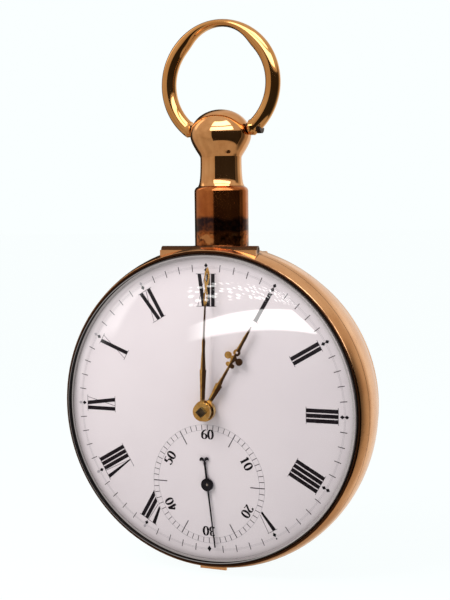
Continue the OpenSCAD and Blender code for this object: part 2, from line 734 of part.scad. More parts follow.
// Points of a spiral strip of thickness t from radius r0 to r1
function spiral(r0, r1, turns, t, per_turn = 24) = let (n = turns * per_turn)
    concat([for (i = [0:n]) polar(r0 + (r1 - r0) * i / n + t, 360 * i / per_turn)],
        [for (i = [n:-1:0]) polar(r0 + (r1 - r0) * i / n, 360 * i / per_turn)]);
module mainspring() {
    color("#4c5a70") in_case() at(barrel_at) slab(barrel_front - 0.5, barrel_front - barrel_back - 1.1)
        polygon(spiral(3.2, 7.1, 8, 0.2));
}
ratchet_r = 2.3;
module setup_ratchet() {
    teeth = 18;
    color("#7b7f86") in_case() at(barrel_at) slab(plate_top + 0.5, 0.4) difference() {
        polygon([for (k = [0:teeth - 1]) for (p = [[ratchet_r - 0.4, 0], [ratchet_r, 4], [ratchet_r, 7]])
            polar(p[0], 360 * k / teeth + p[1])]);
        square(1.37, center = true);
    }
}
click_at = barrel_at + polar(4.1, -70);
module setup_click() {
    color("#7b7f86") in_case() at(click_at) {
        slab(plate_top + 0.5, 0.4) difference() {
            union() {
                circle(r = 0.75);
                rotate(96) translate([0, -0.3]) square([1.75, 0.6]);
            }
            circle(r = 0.3);
        }
        rod(0.3, plate_top + 0.6, plate_bottom + 0.4);
        rod(0.55, plate_top + 0.8, plate_top + 0.55);
    }
}

module great_wheel() {
    color("#cfa34e") in_case() at(fusee_at)
        wheel(great_n, great_m, centre_pinion_n, great_wheel_z, 0.7, 1.2, 5.6, 5.61, 6, 0.2);
}
module fusee_cone() {
    color("#d0a450") in_case() at(fusee_at) difference() {
        turned(concat([[0, fusee_base + 0.2], [fusee_r0 + 0.3, fusee_base + 0.2]],
            [for (i = [0:fusee_turns - 1]) for (p = [[0.16, 0.5], [0.16, 0.34], [-0.16, 0.34], [-0.16, -0.34],
                [0.16, -0.34], [0.16, -0.5]]) [groove_r(i) + p[0], groove_z(i) + p[1] * fusee_pitch]],
            [[0, groove_z(fusee_turns - 1) - 0.5 * fusee_pitch]]));
        rod(1.2, 3, -4);
    }
}
module fusee_arbor() {
    color("#6b6f76") in_case() at(fusee_at) {
        rod(0.6, plate_top - 0.1, great_wheel_z + 0.1);
        rod(1.19, great_wheel_z + 0.11, top_plate_front + 0.05);
        rod(1.15, top_plate_front + 0.06, top_plate_back - 0.2);
        slab(top_plate_back - 0.19, 2.6) square(winding_square, center = true);
    }
}
// Chain: turns left on the fusee, the straight run, and the turns on the barrel
module fusee_chain() {
    i = chain_turns_left - 1;
    z = groove_z(i);
    rf = groove_r(i) + 0.06;
    rb = barrel_r + 0.22;
    d = norm(fusee_at - barrel_at);
    u = (fusee_at - barrel_at) / d;
    c = (rb - rf) / d;
    n = c * u + sqrt(1 - c * c) * [-u[1], u[0]];
    p = barrel_at + rb * n;
    q = fusee_at + rf * n;
    links = 16;
    step = norm(q - p) / links;
    color("#8d9098") in_case() {
        for (k = [0:i]) at(fusee_at) chain_ring(groove_r(k) + 0.06, groove_z(k));
        for (k = [0:barrel_chain_turns - 1]) at(barrel_at) chain_ring(rb, z - 0.62 * k);
        for (k = [1:links - 2]) at(p + (k + 0.5) * step * (q - p) / norm(q - p)) rotate(angle_to(p, q))
            translate([-0.42 * step, -chain_t / 2, z - chain_h / 2]) cube([0.84 * step, chain_t, chain_h]);
    }
}
module chain_ring(r, z) {
    difference() {
        rod(r + chain_t / 2, z + chain_h / 2, z - chain_h / 2);
        rod(r - chain_t / 2, z + 1, z - 1);
    }
}

// ---------- going train ----------

module centre_arbor() {
    phase = mesh_phase(angle_to(fusee_at, centre_at), great_n, centre_pinion_n);
    color("#6b6f76") in_case() {
        rod(arbor_r, 8.0, centre_wheel_z);
        rod(0.9, centre_wheel_z + 0.15, top_plate_front + 0.2);
        rod(pivot_r, top_plate_front + 0.21, top_plate_back);
        pinion(centre_pinion_n, great_m, great_n, phase, centre_wheel_z - 0.4, great_wheel_z - 1.0);
    }
}
module centre_wheel() {
    color("#cfa34e") in_case()
        wheel(centre_n, centre_m, third_pinion_n, centre_wheel_z, 0.39, 0.9, 2.0, 5.4, 4, 0.7);
}
module third_arbor() {
    phase = mesh_phase(angle_to(centre_at, third_at), centre_n, third_pinion_n);
    color("#6b6f76") in_case() at(third_at) {
        arbor(plate_bottom - 0.1, top_plate_front + 0.1, 0.42);
        pinion(third_pinion_n, centre_m, centre_n, phase, centre_wheel_z + 0.1, centre_wheel_z - 0.7);
    }
}
module third_wheel() {
    color("#cfa34e") in_case() at(third_at)
        wheel(third_n, third_m, fourth_pinion_n, third_wheel_z, 0.35, 0.42, 1.2, 4.3, 4, 0.55);
}
module fourth_arbor() {
    phase = mesh_phase(angle_to(third_at, fourth_at), third_n, fourth_pinion_n);
    color("#6b6f76") in_case() at(fourth_at) {
        rod(0.36, plate_bottom - 0.1, top_plate_front + 0.1);
        rod(pivot_r, seconds_hand_z + 0.05, plate_bottom - 0.11);
        rod(pivot_r, top_plate_front + 0.11, top_plate_back);
        pinion(fourth_pinion_n, third_m, third_n, phase, third_wheel_z + 0.2, third_wheel_z - 0.6);
    }
}
module fourth_wheel() {
    color("#cfa34e") in_case() at(fourth_at)
        wheel(fourth_n, fourth_m, escape_pinion_n, fourth_wheel_z, 0.35, 0.36, 1.1, 3.75, 4, 0.5);
}
module escape_arbor() {
    phase = mesh_phase(angle_to(fourth_at, escape_at), fourth_n, escape_pinion_n);
    color("#6b6f76") in_case() at(escape_at) {
        arbor(plate_bottom - 0.1, top_plate_front + 0.1, 0.3);
        pinion(escape_pinion_n, fourth_m, fourth_n, phase, fourth_wheel_z + 0.2, fourth_wheel_z - 0.6);
    }
}

// ---------- rack lever escapement ----------

module escape_wheel() {
    root = 0.78 * escape_r;
    color("#cfa34e") in_case() at(escape_at) slab(escape_wheel_z, 0.35) difference() {
        // pointed ratchet teeth, which lean forward in the direction of turning
        polygon([for (k = [0:escape_n - 1])
            for (p = [[root, -7], [escape_r, 5.2], [escape_r, 6.2], [root, 8]])
            polar(p[0], 360 * k / escape_n + p[1])]);
        difference() {
            circle(r = root - 0.45);
            circle(r = 0.8);
            for (k = [0:3]) rotate(90 * k) translate([0, -0.2]) square([root, 0.4]);
        }
        circle(r = 0.3);
    }
}
lever_dir = angle_to(pallet_at, balance_at);
wheel_dir = angle_to(pallet_at, escape_at);
rack_r = rack_m * rack_n / 2;
rack_teeth = 11;
lever_t = 0.45;
stone_gap = 0.48;      // clearance left between the stones and the wheel's tips, so the lever can swing

stone_len = 1.3;
stone_w = 0.34;

// Place at distance r from the escape wheel's centre on the line of stone s, which is 1 or -1, as seen from
// the pallet arbor
function stone_at(s, r) = [escape_r / cos(pallet_span) - r * cos(pallet_span), s * r * sin(pallet_span)];
stone_mid = escape_r + stone_gap + stone_len / 2;

module rack_lever() {
    half = 360 / rack_n * (rack_teeth - 1) / 2;
    color("#8a9099") in_case() at(pallet_at) slab(lever_z, lever_t) difference() {
        union() {
            circle(r = 1.0);
            // toothed segment and its arm
            rotate(lever_dir) {
                polygon(concat(ring_of(rack_n, -half, wheel_tooth(rack_n, rack_m, staff_pinion_n), rack_teeth),
                    [for (a = [half + 3:-half / 3:-half - 3]) polar(rack_r - 0.75, a)]));
                translate([0, -0.3]) square([rack_r - 0.4, 0.6]);
                // counterweight
                translate([-2.2, -0.35]) square([2.2, 0.7]);
                translate([-2.4, 0]) circle(r = 0.6);
            }
            // pallet arms, each with a pad for its stone
            rotate(wheel_dir) for (s = [-1, 1]) let (p = stone_at(s, stone_mid + 0.3)) {
                rotate(atan2(p[1], p[0])) translate([0, -0.32]) square([norm(p), 0.64]);
                translate(p) circle(r = 0.72);
            }
        }
        circle(r = 0.35);
        rotate(wheel_dir) for (s = [-1, 1]) translate(stone_at(s, stone_mid)) rotate(180 - s * pallet_span)
            square([stone_len + 0.02, stone_w + 0.02], center = true);
        // room for the wheel's tips
        rotate(wheel_dir) translate([escape_r / cos(pallet_span), 0]) circle(r = escape_r + 0.12);
    }
}
module pallet_stones() {
    color("#a8324a") in_case() at(pallet_at) rotate(wheel_dir) for (s = [-1, 1])
        translate(stone_at(s, stone_mid)) rotate(180 - s * pallet_span)
            translate([-stone_len / 2, -stone_w / 2, lever_z - lever_t - 0.05])
                cube([stone_len, stone_w, lever_t + 0.1]);
}
module pallet_arbor() {
    color("#6b6f76") in_case() at(pallet_at) arbor(plate_bottom - 0.1, top_plate_front + 0.1, 0.35);
}

// ---------- balance ----------

balance_z = -4.85;
balance_rim_r = 7.0;
staff_bottom = -0.05;  // lower pivot's shoulder, at the potence
staff_top = -5.55;
module balance_staff() {
    phase = mesh_phase(lever_dir, rack_n, staff_pinion_n, lever_dir);
    color("#6b6f76") in_case() at(balance_at) {
        rod(0.14, staff_bottom + 0.35, staff_bottom - eps);
        rod(0.32, staff_bottom, staff_top);
        rod(0.5, top_plate_back - 0.6, balance_z + 0.01);
        rod(0.7, spring_z + 0.05, spring_z - 0.25);
        rod(0.14, staff_top + eps, staff_top - 0.6);
        pinion(staff_pinion_n, rack_m, rack_n, phase, lever_z + 0.15, lever_z - lever_t - 0.15);
    }
}
module balance_wheel() {
    color("#d8b060") in_case() at(balance_at) slab(balance_z, 0.5) difference() {
        circle(r = balance_rim_r);
        difference() {
            circle(r = balance_rim_r - 0.65);
            circle(r = 0.95);
            for (k = [0:2]) rotate(120 * k + 20) translate([0, -0.25]) square([balance_rim_r, 0.5]);
        }
        circle(r = 0.32);
    }
}
spring_z = -4.15;
module hairspring() {
    color("#39507e") in_case() at(balance_at) slab(spring_z, 0.18) polygon(spiral(0.75, 3.3, 6, 0.06));
}
stud_at = [3.33, 0];
module hairspring_stud() {
    color("#8a9099") in_case() at(balance_at + [stud_at[0] + 0.42, 0]) difference() {
        translate([-0.35, -0.35, spring_z - 0.35]) cube([0.7, 0.7, 0.89]);
        translate([-1, -0.06, spring_z - 0.2]) cube([0.9, 0.12, 0.3]);
    }
}
module regulator() {
    reach = 8.4;
    color("#8a9099") in_case() at(balance_at) {
        difference() {
            slab(top_plate_back - gap, 0.25) union() {
                circle(r = 2.9);
                rotate(75) translate([2, -0.25]) square([reach - 2, 0.5]);
                rotate(75) translate([reach, 0]) polygon([[-1.2, -0.6], [0.6, 0], [-1.2, 0.6]]);
            }
            rod(regulator_seat_r + 0.03, 0, -6);
        }
        for (a = [73, 79]) at(polar(2.65, a)) rod(0.1, top_plate_back - 0.28, spring_z - 0.05);
    }
}
cock_angle = angle_to(centre_at, balance_at);
cock_screw_at = polar(18.5, cock_angle);
cock_front = -5.6;
cock_t = 0.6;
module balance_cock() {
    table_r = 4.6;
    color("#d6ac56") in_case() difference() {
        union() {
            at(balance_at) rod(table_r, cock_front, cock_front - cock_t);
            slab(cock_front, cock_t) rotate(cock_angle) polygon([[norm(balance_at) + 2, -3.4], [17.1, -2.2],
                [19.7, -3.4], [20.0, 0], [19.7, 3.4], [17.1, 2.2], [norm(balance_at) + 2, 3.4]]);
            intersection() {
                slab(top_plate_back, top_plate_back - cock_front + eps) rotate(cock_angle)
                    polygon([[17.1, -2.2], [19.7, -3.4], [20.0, 0], [19.7, 3.4], [17.1, 2.2]]);
                rod(top_plate_r - 0.4, 0, -9);
            }
        }
        // pierced work
        for (k = [0:7]) {
            at(balance_at + polar(3.1, 45 * k + cock_angle + 22.5)) rod(0.75, -5, -7);
            at(balance_at + polar(1.75, 45 * k + cock_angle)) rod(0.36, -5, -7);
        }
        at(balance_at) rod(0.14 + pivot_gap, 0, -9);
        at(cock_screw_at) rod(0.5, 0, -9);
    }
}
module cock_screw() {
    color("#3a4f86") in_case() at(cock_screw_at) difference() {
        union() {
            rod(0.48, cock_front - cock_t - eps, top_plate_back + 0.9);
            rod(0.95, cock_front - cock_t, cock_front - cock_t - 0.35);
        }
        translate([-2, -0.12, cock_front - cock_t - 0.5]) cube([4, 0.24, 0.3]);
    }
}
module cock_endstone() {
    color("#b04058") in_case() at(balance_at) {
        rod(0.75, cock_front - cock_t, cock_front - cock_t - 0.3);
        for (s = [-1, 1]) at([s * 1.05, 0]) rod(0.22, cock_front - cock_t, cock_front - cock_t - 0.2);
    }
}
potence_screw_at = balance_at + [3.4, 1.6];
module potence() {
    dir = angle_to(balance_at, potence_screw_at);
    color("#cda24e") in_case() difference() {
        union() {
            at(balance_at) slab(staff_bottom + 0.75, 0.7) rotate(dir) union() {
                circle(r = 0.9);
                translate([0, -0.9]) square([4.4, 1.8]);
            }
            at(balance_at) rotate(dir) translate([2.7, -0.9, top_plate_front])
                cube([1.7, 1.8, staff_bottom - top_plate_front + 0.1]);
        }
        at(balance_at) rod(0.14 + pivot_gap, 2, -2);
        at(potence_screw_at) rod(0.45, -1, -4);
    }
}
module potence_screw() {
    color("#3a4f86") in_case() at(potence_screw_at) difference() {
        union() {
            rod(0.43, -1.05, top_plate_back - eps);
            rod(0.8, top_plate_back, top_plate_back - 0.3);
        }
        translate([-2, -0.1, top_plate_back - 0.5]) cube([4, 0.2, 0.32]);
    }
}

case_band();
inner_bottom();
back_cover();
bezel();
crystal();
bezel_hinge_pin();
back_hinge_pin();
pendant_sleeve();
pendant_knob();
bow();
bow_screw();
dial();
dial_feet();
dial_foot_pins();
hour_hand();
minute_hand();
seconds_hand();
pillar_plate();
pillars();
pillar_pins();
top_plate();
movement_latch();
movement_hinge_pin();
cannon_pinion();
minute_wheel();
minute_wheel_stud();
hour_wheel();
barrel_drum();
barrel_cover();
barrel_arbor();
mainspring();
setup_ratchet();
setup_click();
fusee_cone();
fusee_arbor();
great_wheel();
fusee_chain();
centre_arbor();
centre_wheel();
third_arbor();
third_wheel();
fourth_arbor();
fourth_wheel();
escape_arbor();
escape_wheel();
pallet_arbor();
rack_lever();
pallet_stones();
balance_staff();
balance_wheel();
hairspring();
hairspring_stud();
regulator();
balance_cock();
cock_screw();
cock_endstone();
potence();
potence_screw();
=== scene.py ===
import json
import math

import bmesh
import bpy
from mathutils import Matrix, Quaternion, Vector
from mathutils.bvhtree import BVHTree


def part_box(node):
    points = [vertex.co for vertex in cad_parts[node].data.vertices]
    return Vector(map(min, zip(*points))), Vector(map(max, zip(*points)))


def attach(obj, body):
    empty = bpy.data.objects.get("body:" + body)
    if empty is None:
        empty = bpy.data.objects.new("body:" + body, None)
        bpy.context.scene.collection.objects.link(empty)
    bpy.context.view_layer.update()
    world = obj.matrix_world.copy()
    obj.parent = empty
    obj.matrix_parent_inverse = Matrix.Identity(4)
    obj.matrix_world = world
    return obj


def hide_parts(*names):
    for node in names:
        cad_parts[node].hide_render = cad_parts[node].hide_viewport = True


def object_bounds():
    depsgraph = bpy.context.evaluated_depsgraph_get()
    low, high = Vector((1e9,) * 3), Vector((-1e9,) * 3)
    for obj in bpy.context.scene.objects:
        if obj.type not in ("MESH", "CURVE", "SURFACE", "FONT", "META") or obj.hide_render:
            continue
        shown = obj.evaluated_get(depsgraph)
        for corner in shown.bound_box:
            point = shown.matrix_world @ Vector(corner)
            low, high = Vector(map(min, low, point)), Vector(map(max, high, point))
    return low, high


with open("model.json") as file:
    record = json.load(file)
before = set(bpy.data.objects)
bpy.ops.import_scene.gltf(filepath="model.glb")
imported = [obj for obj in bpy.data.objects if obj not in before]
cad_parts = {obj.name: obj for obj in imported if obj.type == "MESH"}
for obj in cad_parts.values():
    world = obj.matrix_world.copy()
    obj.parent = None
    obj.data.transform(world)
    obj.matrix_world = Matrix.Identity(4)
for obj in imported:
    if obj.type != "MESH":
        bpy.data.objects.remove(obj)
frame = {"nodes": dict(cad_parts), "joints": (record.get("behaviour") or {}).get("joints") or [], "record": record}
cad_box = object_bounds()
nodes = frame["nodes"]
MM = 0.001

# ---------- shader graphs ----------


class Val:
    """A socket of a shader graph. Arithmetic on it adds Math nodes."""

    def __init__(self, tree, socket):
        self.tree, self.socket = tree, socket

    def op(self, kind, *others):
        n = self.tree.nodes.new("ShaderNodeMath")
        n.operation = kind
        for i, v in enumerate((self, *others)):
            put(self.tree, n.inputs[i], v)
        return Val(self.tree, n.outputs[0])

    def __add__(self, o): return self.op("ADD", o)
    def __sub__(self, o): return self.op("SUBTRACT", o)
    def __mul__(self, o): return self.op("MULTIPLY", o)
    def __truediv__(self, o): return self.op("DIVIDE", o)
    def __pow__(self, o): return self.op("POWER", o)
    __radd__, __rmul__ = __add__, __mul__

    def inv(self):
        """1 minus this."""
        return self * -1.0 + 1.0

    def ramp(self, lo, hi):
        """Smooth step from 0 at lo to 1 at hi; lo may be above hi."""
        n = self.tree.nodes.new("ShaderNodeMapRange")
        n.interpolation_type = "SMOOTHSTEP"
        put(self.tree, n.inputs["Value"], self)
        up = hi >= lo
        n.inputs["From Min"].default_value, n.inputs["From Max"].default_value = (lo, hi) if up else (hi, lo)
        n.inputs["To Min"].default_value, n.inputs["To Max"].default_value = (0, 1) if up else (1, 0)
        return Val(self.tree, n.outputs["Result"])

    def band(self, a, b, soft):
        """1 between a and b with soft edges."""
        return self.ramp(a - soft, a + soft) * self.ramp(b + soft, b - soft)


def put(tree, socket, v):
    if isinstance(v, Val):
        tree.links.new(v.socket, socket)
    elif isinstance(v, (tuple, list)) and len(v) == 3 and socket.type == "RGBA":
        socket.default_value = (*v, 1)
    else:
        socket.default_value = v


def add(tree, kind, out=0, inputs=None, **props):
    """Adds a node, sets its inputs and properties, and returns one output."""
    n = tree.nodes.new(kind)
    for k, v in props.items():
        setattr(n, k, v)
    for k, v in (inputs or {}).items():
        put(tree, n.inputs[k], v)
    return Val(tree, n.outputs[out])


def mix(tree, fac, a, b):
    """Colour between a and b."""
    n = tree.nodes.new("ShaderNodeMix")
    n.data_type = "RGBA"
    put(tree, n.inputs[0], fac)
    put(tree, n.inputs[6], a)
    put(tree, n.inputs[7], b)
    return Val(tree, n.outputs[2])


def scaled(tree, vec, scale):
    return add(tree, "ShaderNodeVectorMath", inputs={0: vec, 1: scale}, operation="MULTIPLY")


def xyz(tree, vec):
    n = tree.nodes.new("ShaderNodeSeparateXYZ")
    put(tree, n.inputs[0], vec)
    return [Val(tree, o) for o in n.outputs]


def noise(tree, vec, size_mm, detail=2.0, rough=0.5):
    """Noise with features of about size_mm."""
    return add(tree, "ShaderNodeTexNoise", "Fac", {
        "Vector": vec, "Scale": 1 / (size_mm * MM), "Detail": detail, "Roughness": rough})


def object_position(tree):
    return add(tree, "ShaderNodeTexCoord", "Object")


def new_material(name):
    m = bpy.data.materials.new(name)
    m.use_nodes = True
    m.node_tree.nodes.clear()
    return m, m.node_tree


def end(tree, shader, kind="ShaderNodeOutputMaterial"):
    n = tree.nodes.new(kind)
    tree.links.new(shader.socket, n.inputs["Surface"])


def bump(tree, height, depth_mm, normal=None):
    """Normal from a height between 0 and 1 that stands for depth_mm."""
    ins = {"Height": height, "Distance": depth_mm * MM, "Strength": 1.0}
    if normal is not None:
        ins["Normal"] = normal
    return add(tree, "ShaderNodeBump", "Normal", ins)


def scratches(tree, pos, size_mm=0.12, stretch=14):
    """Fine scratches in two directions, 0 to 1."""
    total = None
    for turn in ((1, 1, 1 / stretch), (1 / stretch, 1, 1)):
        n = noise(tree, scaled(tree, pos, turn), size_mm, 1.0).ramp(0.66, 0.76)
        total = n if total is None else total + n
    return total


SCRATCH_DEPTH_MM = 0.002
GRAIN_DEPTH = 0.06           # depth of a cast grain as a share of its size


def metal(name, light, dark, rough=(0.08, 0.22), blotch_mm=9.0, dent_mm=0.02, scratch=0.35,
          brushed=None, tint=None, grime=0.5, grain_mm=0.0, form=None):
    """Worn metal: blotched colour, uneven polish, fine scratches and shallow dents.

    tint changes the colour by place, form gives a base normal, and brushed stretches fine lines."""
    m, t = new_material(name)
    pos = object_position(t)
    blotch = noise(t, pos, blotch_mm, 4.0, 0.6).ramp(0.3, 0.7)
    spots = noise(t, pos, blotch_mm / 9, 6.0, 0.65)
    colour = mix(t, blotch, light, dark)
    colour = mix(t, spots.ramp(0.56, 0.78) * grime, colour, tuple(c * 0.45 for c in dark))
    if tint:
        colour = tint(t, pos, colour)
    scr = scratches(t, pos)
    roughness = spots * (rough[1] - rough[0]) + rough[0] + scr * (scratch * 0.2)
    ins = {"Base Color": colour, "Metallic": 1.0, "Roughness": roughness}
    normal = bump(t, noise(t, pos, blotch_mm / 2.5, 2.0), dent_mm, form(t, pos) if form else None)
    normal = bump(t, scr * -1.0, SCRATCH_DEPTH_MM * scratch, normal)
    if grain_mm:
        normal = bump(t, noise(t, pos, grain_mm, 3.0), grain_mm * GRAIN_DEPTH, normal)
    if brushed:
        normal = bump(t, noise(t, scaled(t, pos, brushed), 0.05, 2.0), SCRATCH_DEPTH_MM, normal)
    ins["Normal"] = normal
    end(t, add(t, "ShaderNodeBsdfPrincipled", 0, ins))
    return m


# ---------- true normals of the turned case ----------

# levels in front of the case centre: seam of the back cover, widest level, front of the bezel
SEAM, MID, LIP = -4.65, 2.97, 6.8
# widest radius, radius at the bezel's front, fall towards the back
WIDE, FRONT, FALL = 25.48, 24.75, 0.0255
# back cover: radius of its flat middle, levels where it starts and ends, power of its superellipse
FLAT, BOWL_FRONT, BOWL_BACK, BOWL_POWER = 9.0, -5.0, -9.1, 2 / 0.77
BOWL_WIDTH, BOWL_DEPTH = WIDE - 1.5 - FLAT, BOWL_FRONT - BOWL_BACK
NEAR = 0.955                 # least agreement, as a cosine, between the outline's normal and the mesh's


def case_normal(t, pos):
    """Normal of the smooth turned outline, where the mesh's own normal is close to it; else the mesh's own."""
    x, y, z = xyz(t, pos)
    r = (x * x + z * z) ** 0.5
    level = y * -1000.0
    front = (level - MID) * (2 * (WIDE - FRONT) / (LIP - MID) ** 2)
    back = (level - MID) * (2 * FALL)
    is_front = level.op("GREATER_THAN", MID)
    on_band = level.op("GREATER_THAN", SEAM - 0.3)
    u = ((r * 1000.0 - FLAT) * (1 / BOWL_WIDTH)).op("MAXIMUM", 0.001).op("MINIMUM", 1.0)
    v = ((level * -1.0 + BOWL_FRONT) * (1 / BOWL_DEPTH)).op("MAXIMUM", 0.001).op("MINIMUM", 1.0)
    bowl_out = (u ** (BOWL_POWER - 1)) * (1 / BOWL_WIDTH)
    bowl_back = (v ** (BOWL_POWER - 1)) * (1 / BOWL_DEPTH)
    out = on_band + on_band.inv() * bowl_out
    forward = on_band * (is_front * front + is_front.inv() * back) - on_band.inv() * bowl_back
    n = t.nodes.new("ShaderNodeCombineXYZ")
    for socket, value in zip(n.inputs, (x / r * out, forward * -1.0, z / r * out)):
        put(t, socket, value)
    smooth = add(t, "ShaderNodeVectorMath", "Vector", {0: Val(t, n.outputs[0])}, operation="NORMALIZE")
    own = add(t, "ShaderNodeNewGeometry", "Normal")
    along = add(t, "ShaderNodeVectorMath", "Value", {0: smooth, 1: own}, operation="DOT_PRODUCT")
    near = along.op("ABSOLUTE").op("GREATER_THAN", NEAR)
    signed = add(t, "ShaderNodeVectorMath", "Vector", {0: smooth, "Scale": along.op("SIGN")}, operation="SCALE")
    pick = t.nodes.new("ShaderNodeMix")
    pick.data_type = "VECTOR"
    put(t, pick.inputs[0], near)
    put(t, pick.inputs[4], own)
    put(t, pick.inputs[5], signed)
    return Val(t, pick.outputs[1])


# ---------- materials ----------


def radius(t, pos):
    """Distance from the hands' axis, in mm."""
    x, _, z = xyz(t, pos)
    return ((x * x + z * z) ** 0.5) * 1000.0


def hinge_tint(t, pos, colour):
    """Darkens the case to near-black round the knuckles of the bezel's hinge, with a ragged edge."""
    x, y, z = xyz(t, pos)
    inside = (x * 1000.0).op("ABSOLUTE").ramp(8.6, 8.2)
    above = (z * 1000.0 + noise(t, pos, 1.0, 3.0) * 0.3).ramp(23.9, 24.4)
    hinge = inside * above * (y * 1000.0).band(-5.75, -4.0, 0.2)
    return mix(t, hinge * 0.93, colour, (0.05, 0.02, 0.012))


def bezel_tint(t, pos, colour):
    """Painted shade: a near-black band on the bezel's inner wall round the glass stands for the shadow in the gap
    there and for old cement; a darker line marks its seam with the band.
    """
    y = xyz(t, pos)[1]
    # the painted shade round the glass, with a ragged inner edge
    worn = noise(t, pos, 1.2, 3.0) * 0.1
    lip_shade = (radius(t, pos) + worn).ramp(24.70, 24.62)
    colour = mix(t, lip_shade * 0.97, colour, (0.035, 0.012, 0.006))
    seam = (y * 1000.0).band(-4.82, -4.66, 0.05)
    return hinge_tint(t, pos, mix(t, seam * 0.7, colour, (0.05, 0.022, 0.012)))


def sleeve_tint(t, pos, colour):
    """Heat-tarnished sleeve: a purple-black belt, and mottled brown below it."""
    z = xyz(t, pos)[2] * 1000.0 + noise(t, pos, 2.5, 3.0) * 1.6 - 0.8
    belt = z.band(27.4, 29.6, 0.35)
    below = z.ramp(27.6, 27.0)
    fleck = noise(t, pos, 0.9, 5.0, 0.7).ramp(0.4, 0.66)
    colour = mix(t, below * fleck, colour, (0.05, 0.018, 0.01))
    colour = mix(t, below * noise(t, pos, 1.7, 2.0).ramp(0.6, 0.7), colour, (0.62, 0.30, 0.13))
    return mix(t, belt * (fleck * 0.25).inv(), colour, (0.035, 0.022, 0.03))


CASE_LIGHT, CASE_DARK = (0.92, 0.56, 0.31), (0.80, 0.44, 0.22)

# name: (light colour, dark colour, roughness range, blotch size in mm, dent depth in mm, further arguments)
METALS = {
    "case_gold": (CASE_LIGHT, CASE_DARK, (0.10, 0.22), 7.0, 0.006,
                  dict(scratch=0.5, tint=hinge_tint, form=case_normal)),
    "bezel_gold": (CASE_LIGHT, CASE_DARK, (0.10, 0.20), 7.0, 0.005,
                   dict(scratch=0.5, tint=bezel_tint, form=case_normal)),
    "sleeve_gold": ((0.60, 0.22, 0.07), (0.44, 0.14, 0.045), (0.10, 0.17), 3.0, 0.002,
                    dict(scratch=0.04, tint=sleeve_tint)),
    "bow_gold": ((0.86, 0.50, 0.21), (0.78, 0.41, 0.15), (0.05, 0.11), 5.0, 0.0015, dict(scratch=0.2, grime=0.2)),
    "knob_gold": ((0.88, 0.52, 0.26), (0.78, 0.40, 0.17), (0.04, 0.10), 5.0, 0.0015, dict(scratch=0.2, grime=0.2)),
    "pin_steel": ((0.06, 0.045, 0.04), (0.025, 0.018, 0.015), (0.3, 0.5), 1.5, 0.01, {}),
    "square_steel": ((0.14, 0.12, 0.09), (0.05, 0.04, 0.03), (0.2, 0.4), 0.8, 0.01, {}),
    "blued_steel": ((0.05, 0.055, 0.09), (0.02, 0.02, 0.03), (0.15, 0.3), 2.0, 0.01, {}),
    "plate_gilt": ((0.86, 0.64, 0.28), (0.72, 0.50, 0.19), (0.28, 0.42), 6.0, 0.01,
                   dict(scratch=0.3, grain_mm=0.12)),
    "wheel_brass": ((0.84, 0.62, 0.27), (0.70, 0.47, 0.18), (0.16, 0.3), 3.0, 0.01,
                    dict(scratch=0.4, brushed=(1, 1, 0.05))),
    "steel": ((0.52, 0.53, 0.56), (0.36, 0.36, 0.39), (0.14, 0.28), 2.0, 0.01, dict(scratch=0.4)),
    "spring_steel": ((0.10, 0.15, 0.34), (0.06, 0.08, 0.20), (0.16, 0.26), 1.2, 0.008, {}),
    "chain_steel": ((0.42, 0.42, 0.44), (0.24, 0.23, 0.24), (0.22, 0.4), 0.8, 0.01, {}),
    "copper": ((0.72, 0.36, 0.20), (0.50, 0.22, 0.11), (0.25, 0.4), 1.5, 0.01, {}),
}
MATERIALS = {name: metal(name, *values, **more) for name, (*values, more) in METALS.items()}


def enamel():
    m, t = new_material("enamel")
    pos = object_position(t)
    cloud = noise(t, pos, 12.0, 3.0)
    colour = mix(t, cloud.ramp(0.3, 0.7), (0.772, 0.688, 0.708), (0.743, 0.660, 0.684))
    # fine specks from the firing, and painted shade that greys the rim where the bezel shadows the dial
    speck = noise(t, pos, 0.5, 2.0).ramp(0.76, 0.80) * noise(t, pos, 5.0, 0.0).ramp(0.5, 0.62)
    colour = mix(t, speck * 0.35, colour, (0.55, 0.33, 0.36))
    rim_shade = radius(t, pos).ramp(22.6, 24.1)
    colour = mix(t, rim_shade * 0.65, colour, (0.44, 0.38, 0.375))
    normal = bump(t, noise(t, pos, 3.0, 2.0), 0.01)
    end(t, add(t, "ShaderNodeBsdfPrincipled", 0, {
        "Base Color": colour, "Roughness": 0.32, "Coat Weight": 0.6, "Coat Roughness": 0.06,
        "Specular IOR Level": 0.4, "Normal": normal, "Subsurface Weight": 0.05,
        "Subsurface Radius": (0.4 * MM,) * 3}))
    return m


def ink(name, colour, wear):
    """Fired black paint, a little worn."""
    m, t = new_material(name)
    pos = object_position(t)
    worn = noise(t, pos, 0.5, 4.0, 0.7).ramp(0.5, 0.75) * wear
    end(t, add(t, "ShaderNodeBsdfPrincipled", 0, {
        "Base Color": mix(t, worn, colour, (0.35, 0.31, 0.33)), "Roughness": noise(t, pos, 0.8, 2.0) * 0.2 + 0.4,
        "Specular IOR Level": 0.15, "Normal": bump(t, noise(t, pos, 0.3, 2.0), 0.004)}))
    return m


def ruby():
    m, t = new_material("ruby")
    pos = object_position(t)
    colour = mix(t, noise(t, pos, 0.6, 2.0), (0.55, 0.02, 0.07), (0.75, 0.08, 0.16))
    end(t, add(t, "ShaderNodeBsdfPrincipled", 0, {
        "Base Color": colour, "Roughness": 0.08, "Coat Weight": 0.8, "Specular IOR Level": 0.8,
        "Normal": bump(t, noise(t, pos, 0.4), 0.003)}))
    return m


class Sky:
    """Directions of a shader graph as angles: az 0 in front of the dial and growing to the right, el up."""

    def __init__(self, tree, vec):
        x, y, z = xyz(tree, vec)
        deg = 180 / math.pi
        self.az = x.op("ARCTAN2", y * -1.0) * deg
        self.behind = x.op("ARCTAN2", y) * deg      # 0 straight behind the watch, growing to the right
        self.el = z.op("ARCSINE") * deg

    def window(self, a0, a1, e0, e1, soft_a=3.0, soft_e=3.0, behind=False):
        return (self.behind if behind else self.az).band(a0, a1, soft_a) * self.el.band(e0, e1, soft_e)


